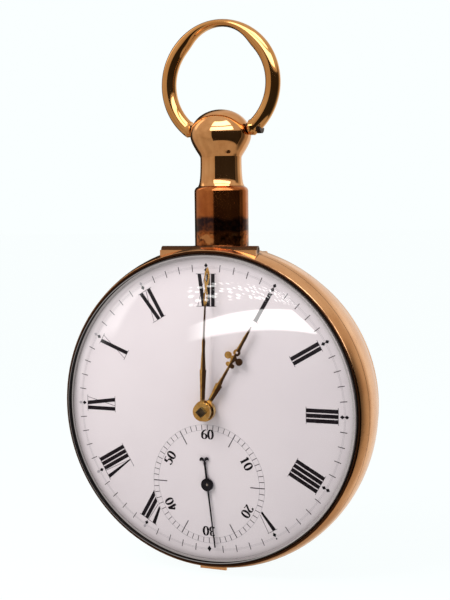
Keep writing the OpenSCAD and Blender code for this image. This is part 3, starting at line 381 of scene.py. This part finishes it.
def lit_windows(tree, vec):
    """Painted reflection that the crystal glows with: a tilted lamp, a row of small lights above it, two soft edges
    at the left, over a dim room.
    """
    sky = Sky(tree, vec)
    below = (sky.el - sky.az * 0.394).ramp(11.3, 12.2)
    above = (sky.el - sky.az * 0.591).ramp(20.8, 20.1)
    end_cut = (sky.el + sky.az * 0.275).ramp(30.2, 29.4)
    streak = below * above * end_cut * sky.az.ramp(-26.0, -20.0)
    row = sky.az.band(-27, 22, 1.0) * (sky.el - sky.az * 0.5).band(24.5, 35.0, 1.0)
    spots = add(tree, "ShaderNodeTexVoronoi", "Distance",
                {"Vector": vec, "Scale": 30.0, "Randomness": 0.55})
    inner = sky.window(-58, -45, 6, 26, 2.0, 3.5)
    outer = sky.window(-74, -63, -4, 36, 2.5, 5.0)
    room = sky.el.ramp(-20, 40) * 0.2 + 0.03
    return room + streak * 7.5 + row * spots.ramp(0.42, 0.30) * 9.0 + inner * 2.6 + outer * 2.2


def glass():
    """Clear glass: it lets light straight through and, by Schlick's rule and more at a slant, shows a painted
    reflection, an emission taken from painted windows, not a mirror of the scene.
    """
    m, t = new_material("crystal_glass")
    pos = object_position(t)
    geo = add(t, "ShaderNodeNewGeometry", "Normal")
    view = add(t, "ShaderNodeNewGeometry", "Incoming")
    slant = add(t, "ShaderNodeVectorMath", "Value", {0: geo, 1: view}, operation="DOT_PRODUCT").op("ABSOLUTE").inv()
    mirror = (slant ** 5.0) * 0.9 + 0.045
    inside = add(t, "ShaderNodeNewGeometry", "Backfacing")
    mirror = mirror * (inside * 0.75).inv()
    wobble = bump(t, noise(t, pos, 9.0, 1.0), 0.004)
    # painted reflection: the glass glows with the painted windows seen in the mirrored direction
    back = scaled(t, view, (-1, -1, -1))
    seen = add(t, "ShaderNodeVectorMath", "Vector", {0: back, 1: wobble}, operation="REFLECT")
    painted_reflection = add(t, "ShaderNodeEmission", 0, {"Color": (1.0, 0.99, 0.98, 1), "Strength": lit_windows(t, seen)})
    tinted = mix(t, slant.ramp(0.3, 1.0), (1, 1, 1), (0.90, 0.90, 0.90))
    clear = add(t, "ShaderNodeBsdfTransparent", 0, {"Color": tinted})
    body = add(t, "ShaderNodeMixShader", 0, {0: mirror, 1: clear, 2: painted_reflection})
    # the ground edge that sits in the bezel is painted near-black as shade in the gap round it, with a pale line
    # inside it that glows as a painted highlight
    r = radius(t, pos)
    edge_shade = r.ramp(23.93, 24.03)
    pale = add(t, "ShaderNodeEmission", 0, {"Color": (1.0, 0.93, 0.90, 1), "Strength": 0.42})
    body = add(t, "ShaderNodeMixShader", 0, {0: r.band(23.70, 23.86, 0.04) * 0.75, 1: body, 2: pale})
    dark = add(t, "ShaderNodeBsdfPrincipled", 0, {"Base Color": (0.012, 0.008, 0.008, 1), "Roughness": 0.35})
    end(t, add(t, "ShaderNodeMixShader", 0, {0: edge_shade * 0.85, 1: body, 2: dark}))
    return m


def hand_tint(angle, bright_from, dark):
    """Painted shade: the right half of a hand that points to angle, the side away from the light, is painted dark
    up to bright_from mm from its centre.
    """
    def tint(t, pos, colour):
        x, _, z = xyz(t, pos)
        a = math.radians(angle)
        across = (x * math.cos(a) - z * math.sin(a)) * 1000.0
        along = (x * math.sin(a) + z * math.cos(a)) * 1000.0
        patchy = noise(t, pos, 1.6, 3.0).ramp(0.1, 0.4)
        shade = across.ramp(-0.16, -0.06) * along.band(1.7, bright_from, 0.4) * patchy
        return mix(t, shade * dark, colour, (0.05, 0.018, 0.006))
    return tint


# each hand's painted shade: its angle, where the shade ends in mm, and how dark it is
HAND_SHADE = {"minute_gilt": (1.9, 16.5, 0.97), "hour_gilt": (30.6, 18.0, 0.96)}
for name, shade in HAND_SHADE.items():
    MATERIALS[name] = metal(name, (0.92, 0.66, 0.27), (0.62, 0.36, 0.10), (0.10, 0.26), 1.2, 0.03, 0.5,
                            grain_mm=0.2, tint=hand_tint(*shade))
MATERIALS["enamel"] = enamel()
MATERIALS["ruby"] = ruby()
MATERIALS["crystal_glass"] = glass()
INK = ink("dial_ink", (0.006, 0.003, 0.006), 0.05)
FINE_INK = ink("dial_fine_ink", (0.06, 0.045, 0.055), 0.4)
HAIR_INK = ink("dial_hairline", (0.42, 0.38, 0.40), 0.5)

material_of = {s["node"]: s["material_slot"] for s in frame["record"]["subparts"]}
material_of.update(bezel="bezel_gold", minute_hand="minute_gilt", hour_hand="hour_gilt",
                   cannon_pinion="square_steel")
for name, obj in nodes.items():
    for s in obj.material_slots:
        s.material = MATERIALS[material_of[name]]

# ---------- smooth shading of the CAD pieces ----------


WELD_MM, CREASE = 0.001, math.radians(24)


def polish_group():
    """Node group that welds a CAD mesh and shades it smooth, with sharp edges where it really turns."""
    g = bpy.data.node_groups.new("polish", "GeometryNodeTree")
    g.interface.new_socket("Geometry", in_out="INPUT", socket_type="NodeSocketGeometry")
    g.interface.new_socket("Geometry", in_out="OUTPUT", socket_type="NodeSocketGeometry")
    node = g.nodes.new
    start, stop = node("NodeGroupInput"), node("NodeGroupOutput")
    strip = node("GeometryNodeRemoveAttribute")
    strip.inputs["Name"].default_value = "custom_normal"
    weld = node("GeometryNodeMergeByDistance")
    weld.inputs["Distance"].default_value = WELD_MM * MM
    faces = node("GeometryNodeSetShadeSmooth")
    edges = node("GeometryNodeSetShadeSmooth")
    edges.domain = "EDGE"
    edges.inputs["Shade Smooth"].default_value = False
    angle = node("GeometryNodeInputMeshEdgeAngle")
    steep = node("FunctionNodeCompare")
    steep.data_type, steep.operation = "FLOAT", "GREATER_THAN"
    steep.inputs["B"].default_value = CREASE
    link = g.links.new
    link(start.outputs[0], strip.inputs["Geometry"])
    link(strip.outputs[0], weld.inputs["Geometry"])
    link(weld.outputs[0], faces.inputs["Geometry"])
    link(faces.outputs[0], edges.inputs["Geometry"])
    link(angle.outputs["Unsigned Angle"], steep.inputs["A"])
    link(steep.outputs[0], edges.inputs["Selection"])
    link(edges.outputs[0], stop.inputs[0])
    return g


POLISH = polish_group()
for obj in nodes.values():
    obj.modifiers.new("polish", "NODES").node_group = POLISH

# ---------- turned pieces ----------


def smooth_path(points, steps=6):
    """Catmull-Rom curve through the points."""
    pts = [points[0]] + list(points) + [points[-1]]
    out = []
    for i in range(1, len(pts) - 2):
        p0, p1, p2, p3 = pts[i - 1:i + 3]
        for k in range(steps):
            u = k / steps
            out.append(tuple(0.5 * (2 * b + (c - a) * u + (2 * a - 5 * b + 4 * c - d) * u * u
                                    + (3 * b - a - 3 * c + d) * u ** 3) for a, b, c, d in zip(p0, p1, p2, p3)))
    return out + [points[-1]]


TURNED_CREASE = math.radians(32)


def lathe(name, profile, along_y, material, body, node, segments=192):
    """Closed solid of revolution from points of (radius, level) in mm, from axis to axis.

    It is turned about Y, with levels in front of the origin, or else about Z. It replaces one CAD node."""
    bm = bmesh.new()
    rows = []
    for r, h in profile:
        def place(a):
            if along_y:
                return r * MM * math.sin(a), -h * MM, r * MM * math.cos(a)
            return r * MM * math.sin(a), -r * MM * math.cos(a), h * MM
        if r < 1e-6:
            rows.append([bm.verts.new(place(0))])
        else:
            rows.append([bm.verts.new(place(2 * math.pi * i / segments)) for i in range(segments)])
    for a, b in zip(rows, rows[1:]):
        for i in range(segments):
            j = (i + 1) % segments
            ring = [a[i % len(a)], a[j % len(a)], b[j % len(b)], b[i % len(b)]]
            bm.faces.new(list(dict.fromkeys(ring)))
    bmesh.ops.recalc_face_normals(bm, faces=bm.faces)
    mesh = bpy.data.meshes.new(name)
    bm.to_mesh(mesh)
    bm.free()
    mesh.materials.append(material)
    mesh.shade_smooth()
    mesh.set_sharp_from_angle(angle=TURNED_CREASE)
    obj = bpy.data.objects.new(name, mesh)
    bpy.context.scene.collection.objects.link(obj)
    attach(obj, body)
    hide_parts(node)


def dome(r, level, rise, steps=48, power=2.2):
    """Superellipse from the axis out to radius r."""
    turn = [math.pi / 2 * i / steps for i in range(steps + 1)]
    return [(r * math.sin(a) ** (2 / power), level + rise * math.cos(a) ** (2 / power)) for a in turn]


glass_lo, glass_hi = (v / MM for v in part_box("crystal"))
GLASS_R, GLASS_T, GLASS_EDGE, GLASS_LAP = glass_hi.x, 0.8, 0.3, 0.7
seat, apex = -glass_hi.y, -glass_lo.y
inner = dome(GLASS_R - GLASS_LAP, seat, apex - GLASS_T - seat)
outer = dome(GLASS_R, seat + GLASS_EDGE, apex - seat - GLASS_EDGE)
lathe("crystal_dome", inner + [(GLASS_R, seat)] + outer[::-1], True, MATERIALS["crystal_glass"],
      "bezel", "crystal", 256)

knob_lo, knob_hi = (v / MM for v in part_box("pendant_knob"))
knob_r, knob_top = knob_hi.x, knob_hi.z
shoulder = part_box("pendant_sleeve")[1].z / MM
CROWN = 4.0                  # height of the knob's round top above its widest level
TENON_R = 1.75               # radius of the tenon inside the sleeve
# the neck as (radius, height above the sleeve)
NECK = ((3.66, 0.01), (3.48, 0.45), (3.34, 1.3), (3.26, 2.6), (3.24, 4.3), (3.38, 4.8), (3.88, 5.6), (4.38, 6.5),
        (4.7, 7.3))
belly = knob_top - CROWN
neck = smooth_path([(r, shoulder + h) for r, h in NECK] + [(knob_r, belly)])
turn = [math.radians(a) for a in range(3, 90, 3)]
ball = [(knob_r * math.cos(a), belly + CROWN * math.sin(a)) for a in turn]
tenon = [(0, knob_lo.z), (TENON_R, knob_lo.z), (TENON_R, shoulder + NECK[0][1])]
lathe("pendant_ball", tenon + neck + ball + [(0, knob_top)], False, MATERIALS["knob_gold"],
      "case_and_plates", "pendant_knob")

bow_lo, bow_hi = (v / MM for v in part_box("bow"))
pivot_z = next(j for j in frame["joints"] if j["name"] == "bow_swing")["pos_m"][2] / MM
WIRE = 2.36                  # thickness of the bow's wire
RING_R = (bow_hi.x - bow_lo.x - WIRE) / 2
RING_Z = bow_hi.z - RING_R - WIRE / 2
# what is left of the wire at the top of the ring, radius of the worn hollow, and how softly it runs out
WORN_LEFT, WORN_R, WORN_SOFT = 1.15, 5.6, 0.3


def inner_edge(a):
    """Distance from the ring's centre to its inside at angle a from its top: round, but worn at the top."""
    plain = RING_R - WIRE / 2
    centre = RING_R + WIRE / 2 - WORN_LEFT - WORN_R
    worn = centre * math.cos(a) + math.sqrt(max(0.0, WORN_R ** 2 - (centre * math.sin(a)) ** 2))
    return plain + 0.5 * (worn - plain + math.sqrt((worn - plain) ** 2 + WORN_SOFT ** 2))


def bow_ring():
    """The ring, swept with a section that thins where a chain wore it."""
    bm = bmesh.new()
    end_x = knob_r + 0.25
    top_turn = math.pi - math.asin(end_x / RING_R)
    steps, around_wire = 160, 32
    outer_edge = RING_R + WIRE / 2
    rows = []
    for i in range(steps + 1):
        a = -top_turn + 2 * top_turn * i / steps
        inner_r = inner_edge(a)
        mid_r, half = (outer_edge + inner_r) / 2, (outer_edge - inner_r) / 2
        row = []
        for k in range(around_wire):
            b = 2 * math.pi * k / around_wire
            r = mid_r + half * math.cos(b)
            side = WIRE / 2 * math.sin(b)
            row.append(bm.verts.new((r * math.sin(a) * MM, side * MM, (RING_Z + r * math.cos(a)) * MM)))
        rows.append(row)
    for a, b in zip(rows, rows[1:]):
        for k in range(around_wire):
            j = (k + 1) % around_wire
            bm.faces.new((a[k], a[j], b[j], b[k]))
    bm.faces.new(rows[0][::-1])
    bm.faces.new(rows[-1])
    return bm


def cross_pin(profile, segments=64):
    """Closed solid turned about the bow's screw, from points of (x, radius)."""
    bm = bmesh.new()
    rows = []
    turn = [2 * math.pi * i / segments for i in range(segments)]
    for x, r in profile:
        rows.append([bm.verts.new((x * MM, r * MM * math.sin(a), (pivot_z + r * math.cos(a)) * MM))
                     for a in turn])
    for a, b in zip(rows, rows[1:]):
        for i in range(segments):
            j = (i + 1) % segments
            bm.faces.new((a[i], a[j], b[j], b[i]))
    bm.faces.new(rows[0][::-1])
    bm.faces.new(rows[-1])
    return bm


def as_object(name, bm):
    bmesh.ops.recalc_face_normals(bm, faces=bm.faces)
    mesh = bpy.data.meshes.new(name)
    bm.to_mesh(mesh)
    bm.free()
    obj = bpy.data.objects.new(name, mesh)
    bpy.context.scene.collection.objects.link(obj)
    return obj


def combine(obj, other, operation):
    """Joins other to obj or cuts it away, for good."""
    m = obj.modifiers.new("combine", "BOOLEAN")
    m.operation, m.object, m.solver = operation, other, "EXACT"
    mesh = bpy.data.meshes.new_from_object(obj.evaluated_get(bpy.context.evaluated_depsgraph_get()))
    obj.modifiers.clear()
    obj.data = mesh
    bpy.data.objects.remove(other)


EYE = [(0.0, 1.14), (0.08, 1.22), (0.75, 1.22), (1.0, 1.14), (1.14, 0.95), (1.18, 0.7)]   # (depth, radius)
BOW_GAP = 0.06               # between the knob's side and the bow's eye


def build_bow():
    """The ring with a rounded eye at each end, cut off flat beside the knob."""
    ring = as_object("bow_ring", bow_ring())
    face = knob_r + BOW_GAP
    for side in (-1, 1):
        combine(ring, as_object("eye", cross_pin([(side * (face + x), r) for x, r in EYE])), "UNION")
    combine(ring, as_object("gap", cross_pin([(-face + 0.01, 3.0), (face - 0.01, 3.0)])), "DIFFERENCE")
    ring.data.materials.clear()
    ring.data.materials.append(MATERIALS["bow_gold"])
    ring.data.shade_smooth()
    ring.data.set_sharp_from_angle(angle=math.radians(38))
    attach(ring, "bow")
    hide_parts("bow")


build_bow()


# ---------- printing on the dial ----------

dial_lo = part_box("dial")[0]
dial_tree = BVHTree.FromPolygons([v.co[:] for v in nodes["dial"].data.vertices],
                                 [p.vertices[:] for p in nodes["dial"].data.polygons])


def dial_height(x, y):
    """Front of the dial at dial coordinates x and y in mm, as a distance in front of the origin in mm."""
    for shrink in (1.0, 0.985, 0.97):
        start = Vector((x * shrink * MM, -0.05, y * shrink * MM))
        hit = dial_tree.ray_cast(start, Vector((0, 1, 0)), 0.06)[0]
        if hit:
            return -hit.y / MM
    return -dial_lo.y / MM


class Sheet:
    """Many small closed plates that lie on the dial, in one mesh."""

    def __init__(self, proud=0.02, sunk=0.015):
        self.verts, self.faces, self.proud, self.sunk = [], [], proud, sunk

    def pair(self, x, y):
        """Adds the front and back vertex of one outline point; returns the front's index."""
        h = dial_height(x, y)
        self.verts.append((x * MM, -(h + self.proud) * MM, y * MM))
        self.verts.append((x * MM, -(h - self.sunk) * MM, y * MM))
        return len(self.verts) - 2

    def polygon(self, points):
        """points run clockwise or anticlockwise; the plate is closed on all sides."""
        area = sum(a[0] * b[1] - b[0] * a[1] for a, b in zip(points, points[1:] + points[:1]))
        if area < 0:
            points = points[::-1]
        idx = [self.pair(*p) for p in points]
        self.faces.append(tuple(idx))
        self.faces.append(tuple(i + 1 for i in reversed(idx)))
        for a, b in zip(idx, idx[1:] + idx[:1]):
            self.faces.append((a, a + 1, b + 1, b))

    def strip(self, left, right, closed=False):
        """Plate between two rows of points of equal length."""
        a = [self.pair(*p) for p in left]
        b = [self.pair(*p) for p in right]
        n = len(a)
        for i in range(n if closed else n - 1):
            j = (i + 1) % n
            self.faces.append((a[i], a[j], b[j], b[i]))
            self.faces.append((b[i] + 1, b[j] + 1, a[j] + 1, a[i] + 1))
            self.faces.append((a[j], a[i], a[i] + 1, a[j] + 1))
            self.faces.append((b[i], b[j], b[j] + 1, b[i] + 1))
        if not closed:
            for i, flip in ((0, False), (n - 1, True)):
                f = (a[i], b[i], b[i] + 1, a[i] + 1)
                self.faces.append(f[::-1] if flip else f)

    def ring(self, centre, r0, r1, steps=180):
        turn = [2 * math.pi * i / steps for i in range(steps)]
        row = lambda r: [(centre[0] + r * math.sin(a), centre[1] + r * math.cos(a)) for a in turn]
        self.strip(row(r0), row(r1), closed=True)

    def done(self, name, material):
        mesh = bpy.data.meshes.new(name)
        mesh.from_pydata(self.verts, [], self.faces)
        bm = bmesh.new()
        bm.from_mesh(mesh)
        bmesh.ops.recalc_face_normals(bm, faces=bm.faces)
        bm.to_mesh(mesh)
        bm.free()
        mesh.materials.append(material)
        obj = bpy.data.objects.new(name, mesh)
        bpy.context.scene.collection.objects.link(obj)
        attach(obj, "case_and_plates")


def around(hour_deg, t, r, centre=(0, 0)):
    """Point t mm clockwise of the ray at hour_deg from 12 o'clock, r mm along it."""
    a = math.radians(hour_deg)
    return (centre[0] + r * math.sin(a) + t * math.cos(a), centre[1] + r * math.cos(a) - t * math.sin(a))


drop_lo, drop_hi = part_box("fourth_wheel")
SUB = (0.0, (drop_lo.z + drop_hi.z) / 2 / MM)    # centre of the seconds dial
SUB_CUT = 9.5                                    # numerals end at this distance from it
NUM_IN, NUM_OUT = 16.05, 21.0                    # inner and outer ends of the numerals


def stroke(sheet, hour_deg, outer, inner):
    """Stroke between two pairs of offsets, from the outer to the inner end, cut off at the seconds dial.

    Returns whether it is whole."""
    def at(u, s):
        t = (outer[0] + (outer[1] - outer[0]) * u) * (1 - s) + (inner[0] + (inner[1] - inner[0]) * u) * s
        return around(hour_deg, t, NUM_OUT + (NUM_IN - NUM_OUT) * s)

    def cut(u):
        far = lambda s: math.dist(at(u, s), SUB) >= SUB_CUT
        if far(1.0):
            return 1.0
        lo, hi = 0.0, 1.0
        for _ in range(24):
            mid = (lo + hi) / 2
            lo, hi = (mid, hi) if far(mid) else (lo, mid)
        return lo

    cuts = [(u, cut(u)) for u in (0.0, 0.5, 1.0)]
    sheet.polygon([at(0.0, 0.0), at(1.0, 0.0)] + [at(u, s) for u, s in reversed(cuts)])
    return min(s for _, s in cuts) >= 1.0


BAR, GAP, LEAN = 0.6, 0.17, 0.72      # width of a bar, gap between letters, and slope of V and X
HAIR, SERIF = 0.07, 0.25              # width of a hairline, and how far the serif line passes the letters
NUMERALS = {12: "XII", 1: "I", 2: "II", 3: "III", 4: "IIII", 5: "V", 7: "VII", 8: "VIII", 9: "IX", 10: "X",
            11: "XI"}


def plate(sheet, angle, half, r0, r1, centre=(0, 0)):
    """Four-sided plate across the ray at angle, half mm to each side, from r0 to r1."""
    sheet.polygon([around(angle, t, r, centre) for t, r in ((-half, r0), (half, r0), (half, r1), (-half, r1))])


def numeral_width(letters):
    return sum(BAR if c == "I" else BAR + LEAN for c in letters) + GAP * (len(letters) - 1)


def numeral(bold, fine, hour, letters):
    a = hour * 30.0
    width = numeral_width(letters)
    t = -width / 2
    whole = True
    for c in letters:
        if c == "I":
            whole &= stroke(bold, a, (t, t + BAR), (t, t + BAR))
            t += BAR + GAP
        elif c == "V":
            point, far = t + LEAN + BAR / 2, t + BAR + LEAN + 0.1
            whole &= stroke(bold, a, (t, t + BAR), (point - 0.12, point + 0.05))
            stroke(fine, a, (far - HAIR, far), (point - HAIR / 2, point + HAIR / 2))
            t += BAR + LEAN + GAP
        else:
            stroke(bold, a, (t, t + BAR), (t + LEAN, t + LEAN + BAR))
            stroke(fine, a, (t + BAR + LEAN - HAIR, t + BAR + LEAN), (t, t + HAIR))
            t += BAR + LEAN + GAP
    ends = (NUM_OUT + 0.02, NUM_IN - 0.02) if whole else (NUM_OUT + 0.02,)
    for r in ends:
        plate(fine, a, width / 2 + SERIF, r - HAIR / 2, r + HAIR / 2)


def lozenge(sheet, angle, r, half_long, half_wide):
    sheet.polygon([around(angle, 0, r + half_long), around(angle, half_wide, r), around(angle, 0, r - half_long),
                   around(angle, -half_wide, r)])


def curve_stroke(sheet, points, widths, place):
    """Pen stroke along points with a width at each, in a digit's own frame."""
    left, right = [], []
    for i, p in enumerate(points):
        a, b = points[max(i - 1, 0)], points[min(i + 1, len(points) - 1)]
        d = math.dist(a, b) or 1.0
        n = (-(b[1] - a[1]) / d, (b[0] - a[0]) / d)
        w = widths[i] / 2
        left.append(place(p[0] + n[0] * w, p[1] + n[1] * w))
        right.append(place(p[0] - n[0] * w, p[1] - n[1] * w))
    sheet.strip(left, right)


def arc(cx, cy, rx, ry, a0, a1, steps=12):
    return [(cx + rx * math.cos(math.radians(a0 + (a1 - a0) * i / steps)),
             cy + ry * math.sin(math.radians(a0 + (a1 - a0) * i / steps))) for i in range(steps + 1)]


THICK, THIN = 0.24, 0.07     # pen widths of the figures, in mm


def pen(points):
    """Width along a path: thick where it runs up and down, thin where it runs across."""
    out = []
    for i in range(len(points)):
        a, b = points[max(i - 1, 0)], points[min(i + 1, len(points) - 1)]
        d = math.dist(a, b) or 1.0
        out.append(THIN + (THICK - THIN) * (abs(b[1] - a[1]) / d) ** 1.5)
    return out


# Each digit is a list of paths in a box 0.62 wide and 1 high, standing on the line y = 0
DIGITS = {
    "0": [arc(0.31, 0.5, 0.25, 0.47, 90, 452, 20)],
    "1": [[(0.31, 0.03), (0.31, 0.5), (0.31, 0.97)], [(0.12, 0.80), (0.31, 0.95)], [(0.14, 0.02), (0.48, 0.02)]],
    "2": [arc(0.30, 0.72, 0.22, 0.25, 165, -40, 10) + [(0.12, 0.08)], [(0.08, 0.06), (0.34, 0.1), (0.56, 0.04)]],
    "3": [arc(0.28, 0.74, 0.20, 0.23, 160, -90, 10), arc(0.28, 0.27, 0.25, 0.25, 90, -150, 12)],
    "4": [[(0.42, 0.0), (0.42, 0.5), (0.42, 1.0)], [(0.42, 0.97), (0.05, 0.3)], [(0.04, 0.28), (0.6, 0.28)]],
    "5": [[(0.14, 0.95), (0.55, 0.97)], [(0.15, 0.95), (0.13, 0.58)], arc(0.27, 0.32, 0.26, 0.28, 120, -150, 14)],
    "6": [arc(0.31, 0.29, 0.24, 0.26, 90, 452, 16), arc(0.62, 0.45, 0.55, 0.52, 100, 185, 8)],
}


DIGIT_WIDTH, DIGIT_GAP = 0.62, 0.08


def number(sheet, digits, angle, r, height, centre):
    """Digits with their tops outward, centred on the ray at angle."""
    width, gap = DIGIT_WIDTH * height, DIGIT_GAP * height
    total = len(digits) * width + (len(digits) - 1) * gap
    for k, ch in enumerate(digits):
        left = -total / 2 + k * (width + gap)
        place = lambda x, y: around(angle, left + x * height, r + (y - 0.5) * height, centre)
        for path in DIGITS[ch]:
            curve_stroke(sheet, path, pen(path), place)


# how far each layer of paint stands out, in mm
FINE, FAINT, RINGS = 0.018, 0.014, 0.012
TRACK_IN, TRACK_OUT = 21.4, 22.5                     # ends of the minute marks
TRACK_RINGS, TRACK_RING_HALF = (21.92, 22.1), 0.014
SECONDS_IN, SECONDS_OUT, SECONDS_RING_HALF = 8.5, 9.35, 0.022
FIVES_IN = 7.0                                       # the marks at 5, 15, ... 55 seconds are longer
FIGURE_HEIGHT, FIGURE_R, SIXTY_R = 1.5, 7.45, 7.85
# radius, half length and half width of the lozenges
INNER_LOZENGE, OUTER_LOZENGE = (21.63, 0.37, 0.30), (22.32, 0.36, 0.30)
WORN_LOZENGE, SMALL_LOZENGE, SIX_LOZENGE = (22.32, 0.34, 0.26), (22.3, 0.16, 0.16), (21.92, 0.48, 0.34)


def print_dial():
    bold, fine = Sheet(), Sheet(FINE)
    for hour, letters in NUMERALS.items():
        numeral(bold, fine, hour, letters)
    bold.done("dial_numerals", INK)
    fine.done("dial_numeral_hairlines", FINE_INK)

    ticks, marks, faint, hairs = Sheet(FINE), Sheet(), Sheet(FINE), Sheet(RINGS)
    for minute in range(60):
        if minute % 5:
            plate(ticks, minute * 6.0, 0.06, TRACK_IN, TRACK_OUT)
    for hour in range(1, 13):
        a = hour * 30.0
        if hour == 6:
            lozenge(marks, a, *SIX_LOZENGE)
            continue
        lozenge(marks, a, *INNER_LOZENGE)
        if hour in (12, 1, 2, 3, 4):
            lozenge(marks, a, *OUTER_LOZENGE)
        elif hour == 5:
            lozenge(marks, a, *SMALL_LOZENGE)
        else:
            lozenge(faint, a, *WORN_LOZENGE)
    ticks.done("dial_minute_track", FINE_INK)
    marks.done("dial_hour_marks", INK)
    faint.done("dial_worn_marks", HAIR_INK)
    for r in TRACK_RINGS:
        hairs.ring((0, 0), r - TRACK_RING_HALF, r + TRACK_RING_HALF, 240)
    hairs.done("dial_track_rings", HAIR_INK)

    sub, figures, faint_ring = Sheet(FINE), Sheet(), Sheet(FAINT)
    for r in (SECONDS_IN, SECONDS_OUT):
        faint_ring.ring(SUB, r - SECONDS_RING_HALF, r + SECONDS_RING_HALF, 160)
    for s in range(60):
        inner, half = (FIVES_IN, 0.075) if s % 10 == 5 else (SECONDS_IN, 0.05)
        plate(sub, s * 6.0, half, inner, SECONDS_OUT, SUB)
    for s in range(10, 70, 10):
        number(figures, str(s), s * 6.0, SIXTY_R if s == 60 else FIGURE_R, FIGURE_HEIGHT, SUB)
    faint_ring.done("seconds_rings", HAIR_INK)
    sub.done("seconds_track", FINE_INK)
    figures.done("seconds_figures", INK)


print_dial()

# ---------- camera ----------

CAMERA_AT, CAMERA_AIM = Vector((0.07059, -0.17164, 0.03059)), Vector((0.00041, 0, 0.01652))
CAMERA_ROLL, CAMERA_LENS_MM = math.radians(-0.65), 70.28

cam = bpy.data.objects.new("camera", bpy.data.cameras.new("camera"))
bpy.context.scene.collection.objects.link(cam)
bpy.context.scene.camera = cam
cam.data.sensor_width = 36
cam.data.lens = CAMERA_LENS_MM
cam.data.clip_start = 0.01
cam.location = CAMERA_AT
cam.rotation_mode = "QUATERNION"
cam.rotation_quaternion = ((CAMERA_AIM - CAMERA_AT).to_track_quat("-Z", "Y")
                           @ Quaternion((0, 0, 1), CAMERA_ROLL))

# ---------- floor, light and surroundings ----------

PALE = (0.956, 1.0, 1.0)
FLOOR_R, FLOOR_GLOW, FLOOR_GREY = 3.0, 0.972, 0.06
KEY_AT, KEY_SIZE, KEY_POWER = (-0.055, -0.085, 0.105), 0.09, 0.205


def floor():
    bm = bmesh.new()
    bmesh.ops.create_circle(bm, cap_ends=True, segments=96, radius=FLOOR_R)
    mesh = bpy.data.meshes.new("floor")
    bm.to_mesh(mesh)
    bm.free()
    obj = bpy.data.objects.new("floor", mesh)
    bpy.context.scene.collection.objects.link(obj)
    obj.location.z = cad_box[0].z - 0.3 * MM
    m, t = new_material("floor_paper")
    glow = add(t, "ShaderNodeEmission", 0, {"Color": (*PALE, 1), "Strength": FLOOR_GLOW})
    matt = add(t, "ShaderNodeBsdfDiffuse", 0, {"Color": (FLOOR_GREY, FLOOR_GREY, FLOOR_GREY, 1)})
    end(t, add(t, "ShaderNodeAddShader", 0, {0: glow, 1: matt}))
    mesh.materials.append(m)
    obj.visible_glossy = False


floor()


def studio():
    """The room: plain pale walls to the camera, soft white light, and lamps and dark walls to a mirror."""
    w = bpy.data.worlds.new("studio")
    bpy.context.scene.world = w
    w.use_nodes = True
    t = w.node_tree
    t.nodes.clear()
    direction = add(t, "ShaderNodeTexCoord", "Generated")
    sky = Sky(t, direction)
    cloud = add(t, "ShaderNodeTexNoise", "Fac", {"Vector": direction, "Scale": 2.2})
    mid = (cloud - 0.5) * 0.3 + sky.el.ramp(-40, 70) * 0.2 + 0.46
    # dark doorway at the right, dark corner at the rear right, and a dark wall behind on the left
    door = sky.window(-13, 108, -40, 16.5, 1.2, 1.5)
    corner = sky.window(52, 74, -40, 22, 8.0, 6.0, behind=True)
    wall = sky.window(-66, -21, -45, 38, 5.0, 8.0, behind=True)
    bright = sky.window(-14, 30, -35, 24, 5.0, 8.0, behind=True)
    room = mid * (door * 0.94).inv() * (corner * 0.8).inv() * (wall * 0.93).inv() + bright * 0.36
    # two lamps, one above the other, over the doorway
    tilt = sky.el - sky.az * 0.05
    lamps = sky.az.band(-20, 74, 1.5) * (tilt.band(18.5, 36.0, 0.6) + tilt.band(42.0, 66.0, 1.0))
    edge_lamp = sky.window(-104, -88, 18, 50, 3.0, 6.0)
    strength = room + lamps * 2.6 + edge_lamp
    tone = mix(t, room.ramp(0.35, 1.15), (1.0, 0.76, 0.52), (1.0, 0.97, 0.94))
    tone = mix(t, lamps, tone, (1.0, 0.98, 0.94))
    path = lambda ray: add(t, "ShaderNodeLightPath", ray)
    pale = add(t, "ShaderNodeBackground", 0, {"Color": (*PALE, 1), "Strength": 1.0})
    soft = add(t, "ShaderNodeBackground", 0, {"Color": (1.0, 0.985, 0.99, 1), "Strength": 0.34})
    seen = add(t, "ShaderNodeBackground", 0, {"Color": tone, "Strength": strength})
    shader = add(t, "ShaderNodeMixShader", 0, {0: path("Is Glossy Ray"), 1: soft, 2: seen})
    shader = add(t, "ShaderNodeMixShader", 0, {0: path("Is Camera Ray"), 1: shader, 2: pale})
    end(t, shader, "ShaderNodeOutputWorld")


studio()


def softbox(name, place, size, power):
    light = bpy.data.lights.new(name, "AREA")
    light.shape = "SQUARE"
    light.size = size
    light.energy = power
    obj = bpy.data.objects.new(name, light)
    obj.location = place
    obj.rotation_mode = "QUATERNION"
    obj.rotation_quaternion = (Vector((0, 0, 0)) - Vector(place)).to_track_quat("-Z", "Y")
    obj.visible_glossy = False
    bpy.context.scene.collection.objects.link(obj)


softbox("key", KEY_AT, KEY_SIZE, KEY_POWER)
bpy.context.scene.view_settings.view_transform = "Standard"
bpy.context.scene.view_settings.look = "None"
